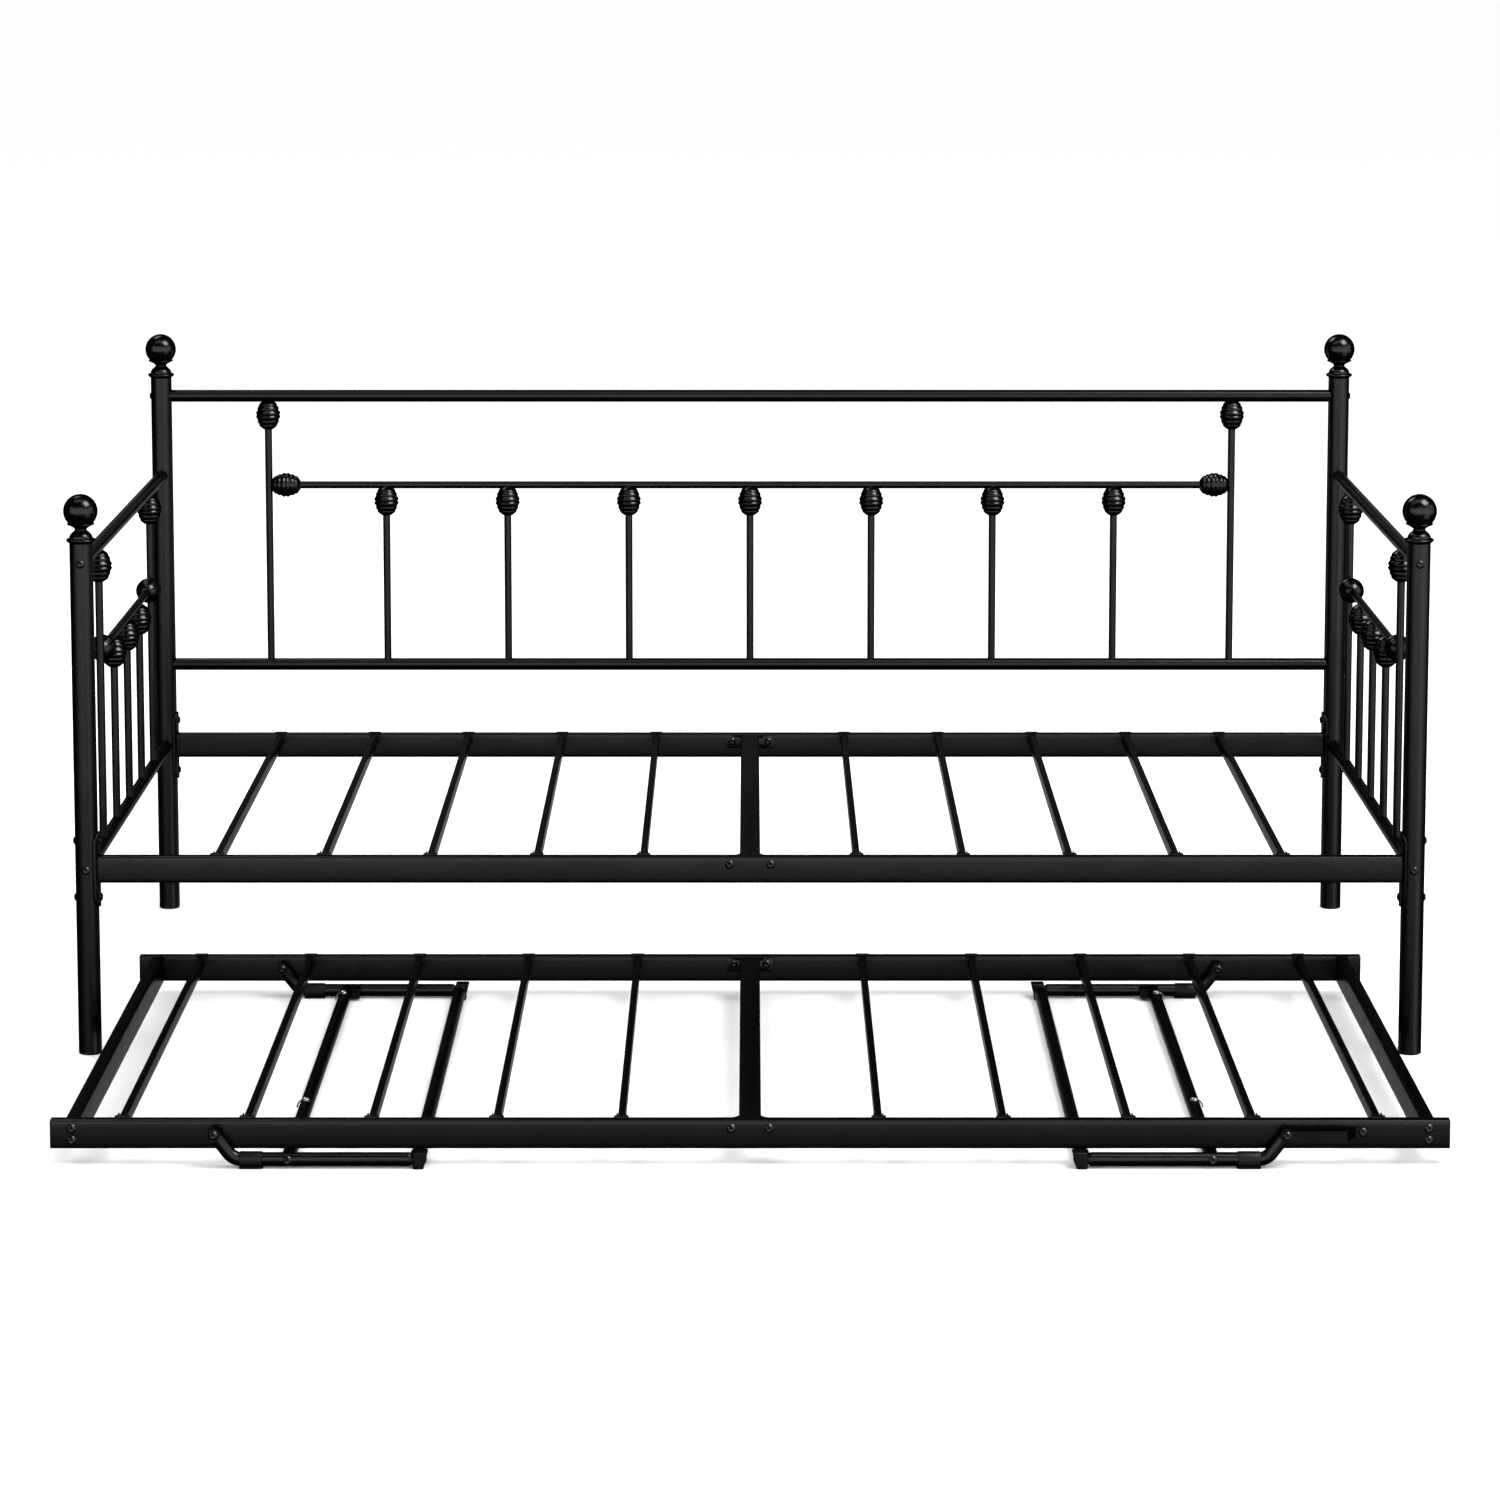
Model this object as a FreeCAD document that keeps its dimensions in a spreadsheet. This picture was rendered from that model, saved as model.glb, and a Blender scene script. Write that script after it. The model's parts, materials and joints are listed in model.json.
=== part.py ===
import FreeCAD, Part

# A metal daybed with a trundle frame that slides out from under it and stands up on folding legs.
# Millimetres, +Z up. The front is towards -Y, and left is -X as seen from the front.
# The origin is on the floor, in the middle of the whole outline with the trundle drawn out.

import math
import os
import re

import Sketcher

Vector = FreeCAD.Vector
Rotation = FreeCAD.Rotation

# Driving dimensions: name, value and meaning. They become the cells of the spreadsheet.
SIZES = [
    ("post_x", 970, "post centres either side of the middle"),
    ("front_y", -187.87, "plane of the front posts"),
    ("bed_depth", 1000, "front posts to rear posts"),
    ("post_radius", 17, ""),
    ("post_wall", 1.5, ""),
    ("front_post_top", 757, "top of the front post tubes"),
    ("rear_post_top", 890, "top of the rear post tubes"),
    ("cap_height", 4, "foot cap below the tube"),
    ("cap_bevel", 1.5, ""),
    ("plug_length", 20, "plug of a foot cap or finial inside its tube"),
    ("ball_radius", 25, "finial ball"),
    ("ball_rise", 47, "ball centre above the tube"),
    ("collar_rise", 28, "ring under the ball, above the tube"),
    ("collar_radius", 20.3, ""),
    ("neck_radius", 9, ""),
    ("dome_radius", 16.5, ""),
    ("dome_rise", 4, ""),
    ("flange_rise", 5, ""),
    ("flange_radius", 21.5, ""),
    ("lip_radius", 2, "rounding of the collar and the flange"),
    ("rail_radius", 10, "round rails of the back and the sides"),
    ("rail_wall", 1.2, ""),
    ("rod_radius", 6, "middle rods and spindles"),
    ("rod_wall", 1, ""),
    ("back_top_z", 860, "backrest top rail"),
    ("back_mid_z", 712, "backrest middle rod"),
    ("back_low_z", 412, "backrest bottom rail"),
    ("back_side_x", 794.5, "backrest side rods"),
    ("back_pitch", 200.3, "backrest spindle spacing"),
    ("arm_z", 728, "arm rail of a side"),
    ("side_mid_z", 568, "middle rod of a side"),
    ("side_low_z", 276, "lower rail of a side"),
    ("outer_spindle_y", 313, "outer side spindles, from the middle of the side"),
    ("inner_spindle_y", 156, "inner side spindles, from the middle of the side"),
    ("casting_barrel", 18.4, "grooves of a ribbed casting at its middle"),
    ("casting_end", 12, "grooves of a ribbed casting at its last ring"),
    ("casting_mouth", 6.6, "end faces of a ribbed casting"),
    ("casting_half", 24, "half length of a ribbed casting"),
    ("ring_pitch", 6.7, "ring spacing of a ribbed casting"),
    ("ring_bulge", 1.9, "how far a ring stands out of its grooves"),
    ("casting_drop", 26.5, "casting centre below a middle rod"),
    ("casting_hang", 31.5, "casting centre below a top rail"),
    ("casting_reach", 28, "casting centre from an upright, on a middle rod"),
    ("box_height", 40, "box rails of the deck and the trundle"),
    ("box_depth", 20, ""),
    ("box_wall", 1.5, ""),
    ("box_round", 3, ""),
    ("deck_top", 296, ""),
    ("slat_width", 10, ""),
    ("slat_height", 19, ""),
    ("slat_wall", 1, ""),
    ("deck_pitch", 156, "slat spacing of the deck"),
    ("beam_width", 30, "centre beam"),
    ("beam_height", 20, ""),
    ("beam_drop", 2, "top of a centre beam below the tops of the slats"),
    ("plate_height", 22, "end plate of a centre beam"),
    ("plate_thick", 3, ""),
    ("gusset", 14, "corner gussets of an end plate"),
    ("deck_plate", 80, "length of the deck's end plates"),
    ("deck_bolt_x", 30, ""),
    ("beam_bolt_drop", 12, "end plate bolts below the top of the rail"),
    ("clip_width", 20, "slat clip"),
    ("clip_depth", 12, ""),
    ("clip_thick", 2, ""),
    ("clip_cheek", 13, "height of a clip's cheeks"),
    ("saddle_radius", 20, "rail bracket, outside"),
    ("saddle_height", 112, ""),
    ("saddle_half_width", 16, ""),
    ("saddle_bolt", 42, "bracket bolts above and below the middle of the rail"),
    ("bolt_radius", 3, ""),
    ("head_radius", 6.5, ""),
    ("head_height", 3.6, ""),
    ("socket_radius", 2.6, "corners of the hexagon socket"),
    ("socket_floor", 1.4, ""),
    ("head_sink", 0.6, "how far a head beds into a round tube"),
    ("head_gap", 0.5, "between a leg's eye and the bolt head or the strap"),
    ("nut_grip", 0.5, "bolt end beyond the post, inside its cap nut"),
    ("nut_room", 2, "bolt end beyond the last plate it passes"),
    ("rail_room", 4, "far wall of a rail beyond a bolt that ends inside it"),
    ("side_reach", 12, "side bolts beyond their posts"),
    ("back_reach", 20, "backrest bolts beyond the middle of their posts"),
    ("corner_reach", 15, "trundle corner bolts beyond the rails"),
    ("brace_reach", 14, "brace bolts beyond the axis of the leg tube"),
    ("trundle_half", 942, "half length of the trundle's rails"),
    ("trundle_front", -808.87, "front face of the front rail, drawn out"),
    ("trundle_rear", 984, "front rail face to rear rail face"),
    ("trundle_top", 62, ""),
    ("end_cap_thick", 2, "plastic caps of the rail ends"),
    ("end_cap_inset", 0.5, "edge of an end cap inside the rail's outline"),
    ("end_cap_plug", 12, ""),
    ("end_rail_x", 913, "centres of the end rails"),
    ("first_slat_x", 173.3, "first slat from the middle"),
    ("trundle_pitch", 168.2, "slat spacing of the trundle"),
    ("trundle_plate", 71, "length of the trundle's end plates"),
    ("trundle_bolt_x", 25.5, ""),
    ("frame_bolt_drop", 20, "middle of the corner bolts below the top of the rail"),
    ("frame_bolt_gap", 8, "corner bolts above and below that"),
    ("pivot_x", 720, "leg pivots"),
    ("pivot_z", 46, ""),
    ("pivot_radius", 4, ""),
    ("pivot_clearance", 0.08, ""),
    ("leg_gap", 12, "leg tube axis in front of its rail's face"),
    ("leg_radius", 9.5, ""),
    ("leg_wall", 1.5, ""),
    ("leg_z", 11.5, "leg tube axis above the floor, folded"),
    ("leg_bend_x", 693.5, ""),
    ("leg_bend_radius", 22, ""),
    ("foot_bar_x", 446.6, ""),
    ("brace_bar_x", 621, ""),
    ("foot_half", 11.3, "half width of a moulded elbow"),
    ("foot_ease", 0.2, "round parts of an elbow inside its flat ones"),
    ("sole_thick", 3, ""),
    ("sole_half", 14, ""),
    ("sole_height", 21, ""),
    ("spigot_length", 25, "elbow spigots inside the tubes"),
    ("pad_x", 670, "middle of a leg pad"),
    ("pad_length", 32, ""),
    ("pad_radius", 10.9, ""),
    ("lug_width", 12, "lug between a brace bar and its rear tube"),
    ("lug_depth", 16, ""),
    ("lug_height", 15, ""),
    ("pin_front", 261, "lock pins behind the front rail's face"),
    ("pin_rear", 908, ""),
    ("pin_head", 5.5, ""),
    ("pin_rise", 3, "lock pin above its bar"),
    ("bail_wire", 1.2, "wire bail of a lock pin"),
    ("bail_radius", 12, ""),
    ("bail_sweep", 100, "degrees"),
    ("strap_thick", 3, "joggled strap at the right front pivot"),
    ("strap_height", 14, ""),
    ("strap_bolt_x", 824, ""),
    ("strap_end", 8, "end of the strap beyond its bolts"),
    ("strap_round", 6.5, "rounding of the strap's ends"),
    ("strap_joggle_x", 799, ""),
    ("strap_land_x", 813, ""),
]

doc = FreeCAD.newDocument("TrundleBed")
sheet = doc.addObject("Spreadsheet::Sheet", "Sizes")
for row, (alias, value, meaning) in enumerate(SIZES, start=1):
    sheet.set("A%d" % row, meaning or alias.replace("_", " "))
    sheet.set("B%d" % row, str(value))
    sheet.setAlias("B%d" % row, alias)
doc.recompute()

ALIASES = {alias for alias, _, _ in SIZES}
ORIGIN = Vector(0, 0, 0)
X_AXIS = Vector(1, 0, 0)
Z_AXIS = Vector(0, 0, 1)
DIRECTIONS = {
    "right": X_AXIS,
    "left": -X_AXIS,
    "back": Vector(0, 1, 0),
    "front": Vector(0, -1, 0),
    "up": Z_AXIS,
    "down": -Z_AXIS,
}
SIDES = {"left": -1, "right": 1}
REAR_Y = "front_y + bed_depth"
MIDDLE_Y = "front_y + bed_depth / 2"
POST_PLACES = [(side, y) for y in ("front_y", REAR_Y) for side in SIDES.values()]

parts = {}


def formula(text):
    """Points the dimension names in a formula at the spreadsheet."""
    return re.sub(r"[a-z_]+", lambda word: ("Sizes." if word.group() in ALIASES else "") + word.group(), text)


def size(alias):
    return float(getattr(sheet, alias))


def bind(piece, **formulas):
    for name, text in formulas.items():
        piece.setExpression(name, formula(str(text)))
    return piece


def place(piece, at=(0, 0, 0), facing="up", roll=0):
    """Moves a piece to a point, with its own Z towards a direction, rolled about its own Z first."""
    turn = Rotation(Z_AXIS, DIRECTIONS[facing]).multiply(Rotation(Z_AXIS, roll))
    piece.Placement = FreeCAD.Placement(ORIGIN, turn)
    for axis, text in zip("xyz", at):
        piece.setExpression("Placement.Base." + axis, formula(str(text)))
    return piece


def solid(kind, at=(0, 0, 0), facing="up", **sizes):
    """A primitive: Box, Cylinder, Cone, Sphere, Torus, Prism or Wedge."""
    piece = doc.addObject("Part::" + kind, kind.lower())
    return place(bind(piece, **sizes), at, facing)


def rod(at, length, radius, facing="up"):
    return solid("Cylinder", at, facing, Height=length, Radius=radius)


def block(middle, x, y, z):
    """A box about its middle."""
    corner = ["(%s) - (%s) / 2" % pair for pair in zip(middle, (x, y, z))]
    return solid("Box", corner, Length=x, Width=y, Height=z)


def ring(at, radius, minor, facing="up"):
    return solid("Torus", at, facing, Radius1="%s - %s" % (radius, minor), Radius2=minor)


def cut(base, *tools):
    for tool in tools:
        piece = doc.addObject("Part::Cut", "cut")
        piece.Base = base
        piece.Tool = tool
        base = piece
    return base


def fuse(pieces):
    piece = doc.addObject("Part::MultiFuse", "fuse")
    piece.Shapes = pieces
    return piece


def common(pieces):
    piece = doc.addObject("Part::MultiCommon", "common")
    piece.Shapes = pieces
    return piece


def group(pieces):
    piece = doc.addObject("Part::Compound", "group")
    piece.Links = pieces
    return piece


def copy(master, at, facing="up", roll=0):
    """A linked copy of a piece that is modelled about the origin."""
    link = doc.addObject("App::Link", "copy")
    link.LinkedObject = master
    return place(link, at, facing, roll)


def part(name, piece):
    """Names a finished sub-part; the name is also that of its file."""
    piece.Label = name
    parts[name] = piece
    return piece


def tubes(places, length, radius, wall, facing="up"):
    """Equal parallel tubes, one solid each."""
    outsides = [rod(at, length, radius, facing) for at in places]
    bores = [rod(at, length, "%s - %s" % (radius, wall), facing) for at in places]
    return cut(group(outsides), group(bores))


def add_rectangle(sketch, width, height):
    """A rectangle about the sketch's origin. Its constraints give it its size, whatever it starts from."""
    start = 10
    half = Vector(*[size(side) if side in ALIASES else start for side in (width, height)]) / 2
    corners = [Vector(x * half.x, y * half.y, 0) for x, y in ((-1, -1), (1, -1), (1, 1), (-1, 1))]
    for number in range(4):
        sketch.addGeometry(Part.LineSegment(corners[number], corners[(number + 1) % 4]))
    for number in range(4):
        sketch.addConstraint(Sketcher.Constraint("Coincident", number, 2, (number + 1) % 4, 1))
    for number in (0, 2):
        sketch.addConstraint(Sketcher.Constraint("Horizontal", number))
        sketch.addConstraint(Sketcher.Constraint("Vertical", number + 1))
    sketch.addConstraint(Sketcher.Constraint("Symmetric", 0, 1, 2, 1, -1, 1))
    across = sketch.addConstraint(Sketcher.Constraint("DistanceX", 0, 1, 0, 2, 2 * half.x))
    up = sketch.addConstraint(Sketcher.Constraint("DistanceY", 1, 1, 1, 2, 2 * half.y))
    sketch.setExpression("Constraints[%d]" % across, formula(width))
    sketch.setExpression("Constraints[%d]" % up, formula(height))


def sketch_on(body, role, name):
    sketch = body.newObject("Sketcher::SketchObject", name)
    plane = next(feature for feature in body.Origin.OriginFeatures if feature.Role == role)
    sketch.AttachmentSupport = [(plane, "")]
    sketch.MapMode = "FlatFace"
    return sketch


def box_tube(length, across, height, wall, rounding):
    """A rectangular tube along its own +X from the origin, with rounded long edges."""
    body = doc.addObject("PartDesign::Body", "box_tube")
    section = sketch_on(body, "YZ_Plane", "section")
    add_rectangle(section, across, height)
    pad = body.newObject("PartDesign::Pad", "pad")
    pad.Profile = section
    bind(pad, Length=length)
    doc.recompute()
    edges = enumerate(pad.Shape.Edges, start=1)
    along = ["Edge%d" % number for number, edge in edges if edge.Length > 0.99 * pad.Length.Value]
    fillet = body.newObject("PartDesign::Fillet", "rounding")
    fillet.Base = (pad, along)
    bind(fillet, Radius=rounding)
    hollow = sketch_on(body, "YZ_Plane", "hollow")
    add_rectangle(hollow, "%s - 2 * %s" % (across, wall), "%s - 2 * %s" % (height, wall))
    pocket = body.newObject("PartDesign::Pocket", "bore")
    pocket.Profile = hollow
    pocket.Type = 1
    pocket.Reversed = True
    doc.recompute()
    if pocket.Shape.Volume > 0.5 * fillet.Shape.Volume:
        raise RuntimeError("the bore of a box tube removed nothing")
    return body


def domed_head(head="head_radius"):
    """A shallow dome with a hexagon socket, its flat side at the origin."""
    dome = "(%s ^ 2 + head_height ^ 2) / (2 * head_height)" % head
    below = "asin(1 - head_height / (%s))" % dome
    cap = solid("Sphere", (0, 0, "head_height - " + dome), Radius=dome, Angle1=below)
    socket = solid("Prism", (0, 0, "socket_floor"), Circumradius="socket_radius", Height="head_height")
    socket.Polygon = 6
    return cut(cap, socket)


def bolt(length, radius="bolt_radius"):
    """A bolt, head up, with the underside of its head at the origin."""
    shank = rod((0, 0, "-(%s)" % length), "(%s) + head_height / 3" % length, radius)
    return fuse([domed_head(), shank])


# ---- Fasteners -----------------------------------------------------------------------------------

post_bolt = bolt("2 * post_radius + side_reach")
back_bolt = bolt("post_radius + back_reach")
bracket_bolt = bolt("saddle_radius + post_radius + nut_grip")
through_rail_bolt = bolt("box_depth + plate_thick + nut_room")
into_rail_bolt = bolt("plate_thick + box_depth - rail_room")
corner_bolt = bolt("box_depth + corner_reach")
leg_eye_front = "leg_gap + leg_radius + head_gap"
pivot_bolt = bolt(leg_eye_front + " + box_depth - rail_room", "pivot_radius")
strap_pivot_bolt = bolt(leg_eye_front + " + strap_thick + box_depth - rail_room", "pivot_radius")
brace_bolt = bolt("leg_radius + brace_reach")
cap_nut = domed_head()

# Each bracket takes two bolts from inside the bed, through the post, into cap nuts on the outside.
bracket_bolts = []
bracket_nuts = []
for side, y in POST_PLACES:
    inwards = "left" if side > 0 else "right"
    outwards = "right" if side > 0 else "left"
    for level in (-1, 1):
        z = "side_low_z + %d * saddle_bolt" % level
        bracket_bolts.append(copy(bracket_bolt, ("%d * (post_x - saddle_radius)" % side, y, z), inwards))
        bracket_nuts.append(copy(cap_nut, ("%d * (post_x + post_radius - head_sink)" % side, y, z), outwards))
bracket_bolts = group(bracket_bolts)
bracket_nuts = cut(group(bracket_nuts), bracket_bolts)

# The sides are bolted through the posts from the front and from behind, and the backrest from its ends.
side_bolts = []
back_bolts = []
for side in SIDES.values():
    for z in ("arm_z", "side_low_z"):
        x = "%d * post_x" % side
        side_bolts.append(copy(post_bolt, (x, "front_y - post_radius + head_sink", z), "front"))
        side_bolts.append(copy(post_bolt, (x, REAR_Y + " + post_radius - head_sink", z), "back"))
    for z in ("back_top_z", "back_low_z"):
        x = "%d * (post_x + post_radius - head_sink)" % side
        back_bolts.append(copy(back_bolt, (x, REAR_Y, z), "right" if side > 0 else "left"))
side_bolts = group(side_bolts + back_bolts)


def beam_bolts(front, rear, half_spacing, z):
    """Bolts of a centre beam: through the front rail, and through the rear end plate into the rear rail."""
    found = []
    for side in SIDES.values():
        x = "%d * %s" % (side, half_spacing)
        found.append(copy(through_rail_bolt, (x, front, z), "front"))
        found.append(copy(into_rail_bolt, (x, "%s - plate_thick" % rear, z), "front"))
    return found


deck_front = "front_y - box_depth / 2"
deck_rear = REAR_Y + " - box_depth / 2"
deck_beam_bolts = group(beam_bolts(deck_front, deck_rear, "deck_bolt_x", "deck_top - beam_bolt_drop"))

trundle_rear_face = "trundle_front + trundle_rear"
trundle_back = trundle_rear_face + " + box_depth"
trundle_bolt_z = "trundle_top - beam_bolt_drop"
trundle_bolts = beam_bolts("trundle_front", trundle_rear_face, "trundle_bolt_x", trundle_bolt_z)
for side in SIDES.values():
    for level in (-1, 1):
        x = "%d * end_rail_x" % side
        z = "trundle_top - frame_bolt_drop + %d * frame_bolt_gap" % level
        trundle_bolts.append(copy(corner_bolt, (x, "trundle_front", z), "front"))
        trundle_bolts.append(copy(corner_bolt, (x, trundle_back, z), "back"))
trundle_bolts = group(trundle_bolts)

# ---- Daybed: posts, finials and foot caps --------------------------------------------------------

saddle_slab_y = "2 * saddle_half_width"
saddle_straight = "saddle_height - 2 * saddle_half_width"
saddle_slab = fuse(
    [
        block(("saddle_radius / 2", 0, 0), "saddle_radius", saddle_slab_y, saddle_straight),
        rod((0, 0, "(%s) / 2" % saddle_straight), "saddle_radius", "saddle_half_width", "right"),
        rod((0, 0, "-(%s) / 2" % saddle_straight), "saddle_radius", "saddle_half_width", "right"),
    ]
)
saddle_sleeve = cut(
    rod((0, 0, "-saddle_height / 2"), "saddle_height", "saddle_radius"),
    rod((0, 0, "-saddle_height / 2"), "saddle_height", "post_radius"),
)
saddle = common([saddle_slab, saddle_sleeve])

finial = fuse(
    [
        rod((0, 0, "-plug_length"), "plug_length", "post_radius - post_wall"),
        rod((0, 0, 0), "flange_rise - lip_radius", "post_radius"),
        rod((0, 0, "flange_rise - lip_radius"), "2 * lip_radius", "flange_radius - lip_radius"),
        ring((0, 0, "flange_rise"), "flange_radius", "lip_radius"),
        solid("Sphere", (0, 0, "dome_rise"), Radius="dome_radius", Angle1="0"),
        rod((0, 0, "flange_rise"), "ball_rise - flange_rise", "neck_radius"),
        rod((0, 0, "collar_rise - lip_radius"), "2 * lip_radius", "collar_radius - lip_radius"),
        ring((0, 0, "collar_rise"), "collar_radius", "lip_radius"),
        solid("Sphere", (0, 0, "ball_rise"), Radius="ball_radius"),
    ]
)
foot_cap = fuse(
    [
        solid("Cone", Radius1="post_radius - cap_bevel", Radius2="post_radius", Height="cap_bevel"),
        rod((0, 0, "cap_bevel"), "cap_height - cap_bevel", "post_radius"),
        rod((0, 0, "cap_height"), "plug_length", "post_radius - post_wall"),
    ]
)

for row_name, y, top in (("front", "front_y", "front_post_top"), ("rear", REAR_Y, "rear_post_top")):
    finials = []
    for side_name, side in SIDES.items():
        at = ("%d * post_x" % side, y)
        tube = tubes([at + ("cap_height",)], "%s - cap_height" % top, "post_radius", "post_wall")
        part("%s_%s_post" % (row_name, side_name), cut(tube, bracket_bolts, bracket_nuts, side_bolts))
        finials.append(copy(finial, at + (top,)))
    part(row_name + "_finials", group(finials))
part("post_foot_caps", group([copy(foot_cap, ("%d * post_x" % side, y, 0)) for side, y in POST_PLACES]))

post_envelope = group(
    [rod(("%d * post_x" % side, y, 0), "rear_post_top", "post_radius") for side, y in POST_PLACES]
)
saddle_envelope = group(
    [
        rod(("%d * post_x" % side, y, "side_low_z - saddle_height / 2"), "saddle_height", "saddle_radius")
        for side, y in POST_PLACES
    ]
)
saddles = group(
    [
        copy(saddle, ("%d * post_x" % side, y, "side_low_z"), "up", 180 if side > 0 else 0)
        for side, y in POST_PLACES
    ]
)
part("rail_brackets", cut(saddles, bracket_bolts))
part("bracket_bolts", bracket_bolts)
part("bracket_cap_nuts", bracket_nuts)
part("frame_bolts", side_bolts)

# ---- Ribbed castings -----------------------------------------------------------------------------


def casting_outline():
    """Half section of a ribbed barrel: one short arc for each ring, and one over each end."""
    rings = 6
    half_rings = size("ring_pitch") * rings / 2
    taper = 1 - size("casting_end") / size("casting_barrel")
    grooves = []
    for number in range(rings + 1):
        height = number * size("ring_pitch") - half_rings
        grooves.append(Vector(size("casting_barrel") * (1 - taper * (height / half_rings) ** 2), height, 0))
    end = Vector(size("casting_mouth"), size("casting_half"), 0)
    points = [Vector(end.x, -end.y, 0)] + grooves + [end]
    sketch = doc.addObject("Sketcher::SketchObject", "casting_outline")
    sketch.Placement = FreeCAD.Placement(ORIGIN, Rotation(X_AXIS, 90))
    for start, finish in zip(points, points[1:]):
        outwards = Vector(finish.y - start.y, start.x - finish.x, 0).normalize()
        bulge = size("ring_bulge") * min(1, finish.distanceToPoint(start) / size("ring_pitch"))
        sketch.addGeometry(Part.Arc(start, (start + finish) / 2 + outwards * bulge, finish))
    foot = Vector(0, -end.y, 0)
    head = Vector(0, end.y, 0)
    for start, finish in ((points[0], foot), (foot, head), (head, end)):
        sketch.addGeometry(Part.LineSegment(start, finish))
    return sketch


casting = doc.addObject("Part::Revolution", "casting")
casting.Source = casting_outline()
casting.Axis = Z_AXIS
casting.Angle = 360
casting.Solid = True

# ---- Daybed: backrest ----------------------------------------------------------------------------

back_width = "2 * post_x"
for name, z in (("top", "back_top_z"), ("bottom", "back_low_z")):
    rail = tubes([("-post_x", REAR_Y, z)], back_width, "rail_radius", "rail_wall", "right")
    part("backrest_%s_rail" % name, cut(rail, post_envelope, side_bolts))

back_rails = group(
    [rod(("-post_x", REAR_Y, z), back_width, "rail_radius", "right") for z in ("back_top_z", "back_low_z")]
)
back_side_places = [("%d * back_side_x" % side, REAR_Y, "back_low_z") for side in SIDES.values()]
back_side_length = "back_top_z - back_low_z"
back_side_rods = tubes(back_side_places, back_side_length, "rod_radius", "rod_wall")
part("backrest_side_rods", cut(back_side_rods, back_rails))
back_side_solids = group([rod(at, back_side_length, "rod_radius") for at in back_side_places])

back_mid_at = ("-back_side_x", REAR_Y, "back_mid_z")
back_mid_rod = tubes([back_mid_at], "2 * back_side_x", "rod_radius", "rod_wall", "right")
part("backrest_middle_rod", cut(back_mid_rod, back_side_solids))
back_mid_solid = rod(back_mid_at, "2 * back_side_x", "rod_radius", "right")

back_spindle_places = [("%d * back_pitch" % number, REAR_Y, "back_low_z") for number in range(-3, 4)]
back_spindle_length = "back_mid_z - back_low_z"
back_spindles = tubes(back_spindle_places, back_spindle_length, "rod_radius", "rod_wall")
part("backrest_spindles", cut(back_spindles, back_rails, back_mid_solid))
back_spindle_solids = group([rod(at, back_spindle_length, "rod_radius") for at in back_spindle_places])

back_castings = [copy(casting, (x, y, "back_mid_z - casting_drop")) for x, y, _ in back_spindle_places]
back_castings += [copy(casting, (x, y, "back_top_z - casting_hang")) for x, y, _ in back_side_places]
for side in SIDES.values():
    x = "%d * (back_side_x - casting_reach)" % side
    back_castings.append(copy(casting, (x, REAR_Y, "back_mid_z"), "right"))
back_rods = [back_side_solids, back_mid_solid, back_spindle_solids, back_rails]
part("backrest_castings", cut(group(back_castings), *back_rods))

# ---- Daybed: sides -------------------------------------------------------------------------------

for side_name, side in SIDES.items():
    x = "%d * post_x" % side
    for name, z in (("arm", "arm_z"), ("lower", "side_low_z")):
        rail = tubes([(x, "front_y", z)], "bed_depth", "rail_radius", "rail_wall", "back")
        part("%s_%s_rail" % (side_name, name), cut(rail, post_envelope, saddles, side_bolts))
    side_rails = group(
        [rod((x, "front_y", z), "bed_depth", "rail_radius", "back") for z in ("arm_z", "side_low_z")]
    )

    outer_places = [(x, "%s + %d * outer_spindle_y" % (MIDDLE_Y, way), "side_low_z") for way in (-1, 1)]
    inner_places = [(x, "%s + %d * inner_spindle_y" % (MIDDLE_Y, way), "side_low_z") for way in (-1, 0, 1)]
    outer_length = "arm_z - side_low_z"
    inner_length = "side_mid_z - side_low_z"
    outer_solids = group([rod(at, outer_length, "rod_radius") for at in outer_places])
    inner_solids = group([rod(at, inner_length, "rod_radius") for at in inner_places])

    mid_at = (x, MIDDLE_Y + " - outer_spindle_y", "side_mid_z")
    mid_rod = tubes([mid_at], "2 * outer_spindle_y", "rod_radius", "rod_wall", "back")
    part(side_name + "_middle_rod", cut(mid_rod, outer_solids))
    mid_solid = rod(mid_at, "2 * outer_spindle_y", "rod_radius", "back")

    outer = cut(tubes(outer_places, outer_length, "rod_radius", "rod_wall"), side_rails)
    inner = cut(tubes(inner_places, inner_length, "rod_radius", "rod_wall"), side_rails, mid_solid)
    part(side_name + "_spindles", group([outer, inner]))

    castings = [copy(casting, (x, y, "arm_z - casting_hang")) for x, y, _ in outer_places]
    castings += [copy(casting, (x, y, "side_mid_z - casting_drop")) for x, y, _ in inner_places]
    for way in (-1, 1):
        y = "%s + %d * (outer_spindle_y - casting_reach)" % (MIDDLE_Y, way)
        castings.append(copy(casting, (x, y, "side_mid_z"), "back"))
    part(side_name + "_castings", cut(group(castings), outer_solids, inner_solids, mid_solid, side_rails))

# ---- Decks: shared pieces ------------------------------------------------------------------------


def slat_clip():
    """A clip about the inner top edge of a rail: a tab on the rail and two cheeks beside the slat."""
    tab = block((0, "clip_depth / 2", "clip_thick / 2"), "clip_width", "clip_depth", "clip_thick")
    cheeks = []
    for side in SIDES.values():
        x = "%d * (slat_width + clip_thick) / 2" % side
        middle = (x, "-clip_depth / 2", "clip_thick - (clip_cheek + clip_thick) / 2")
        cheeks.append(block(middle, "clip_thick", "clip_depth", "clip_cheek + clip_thick"))
    return fuse([tab] + cheeks)


clip = slat_clip()


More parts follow.
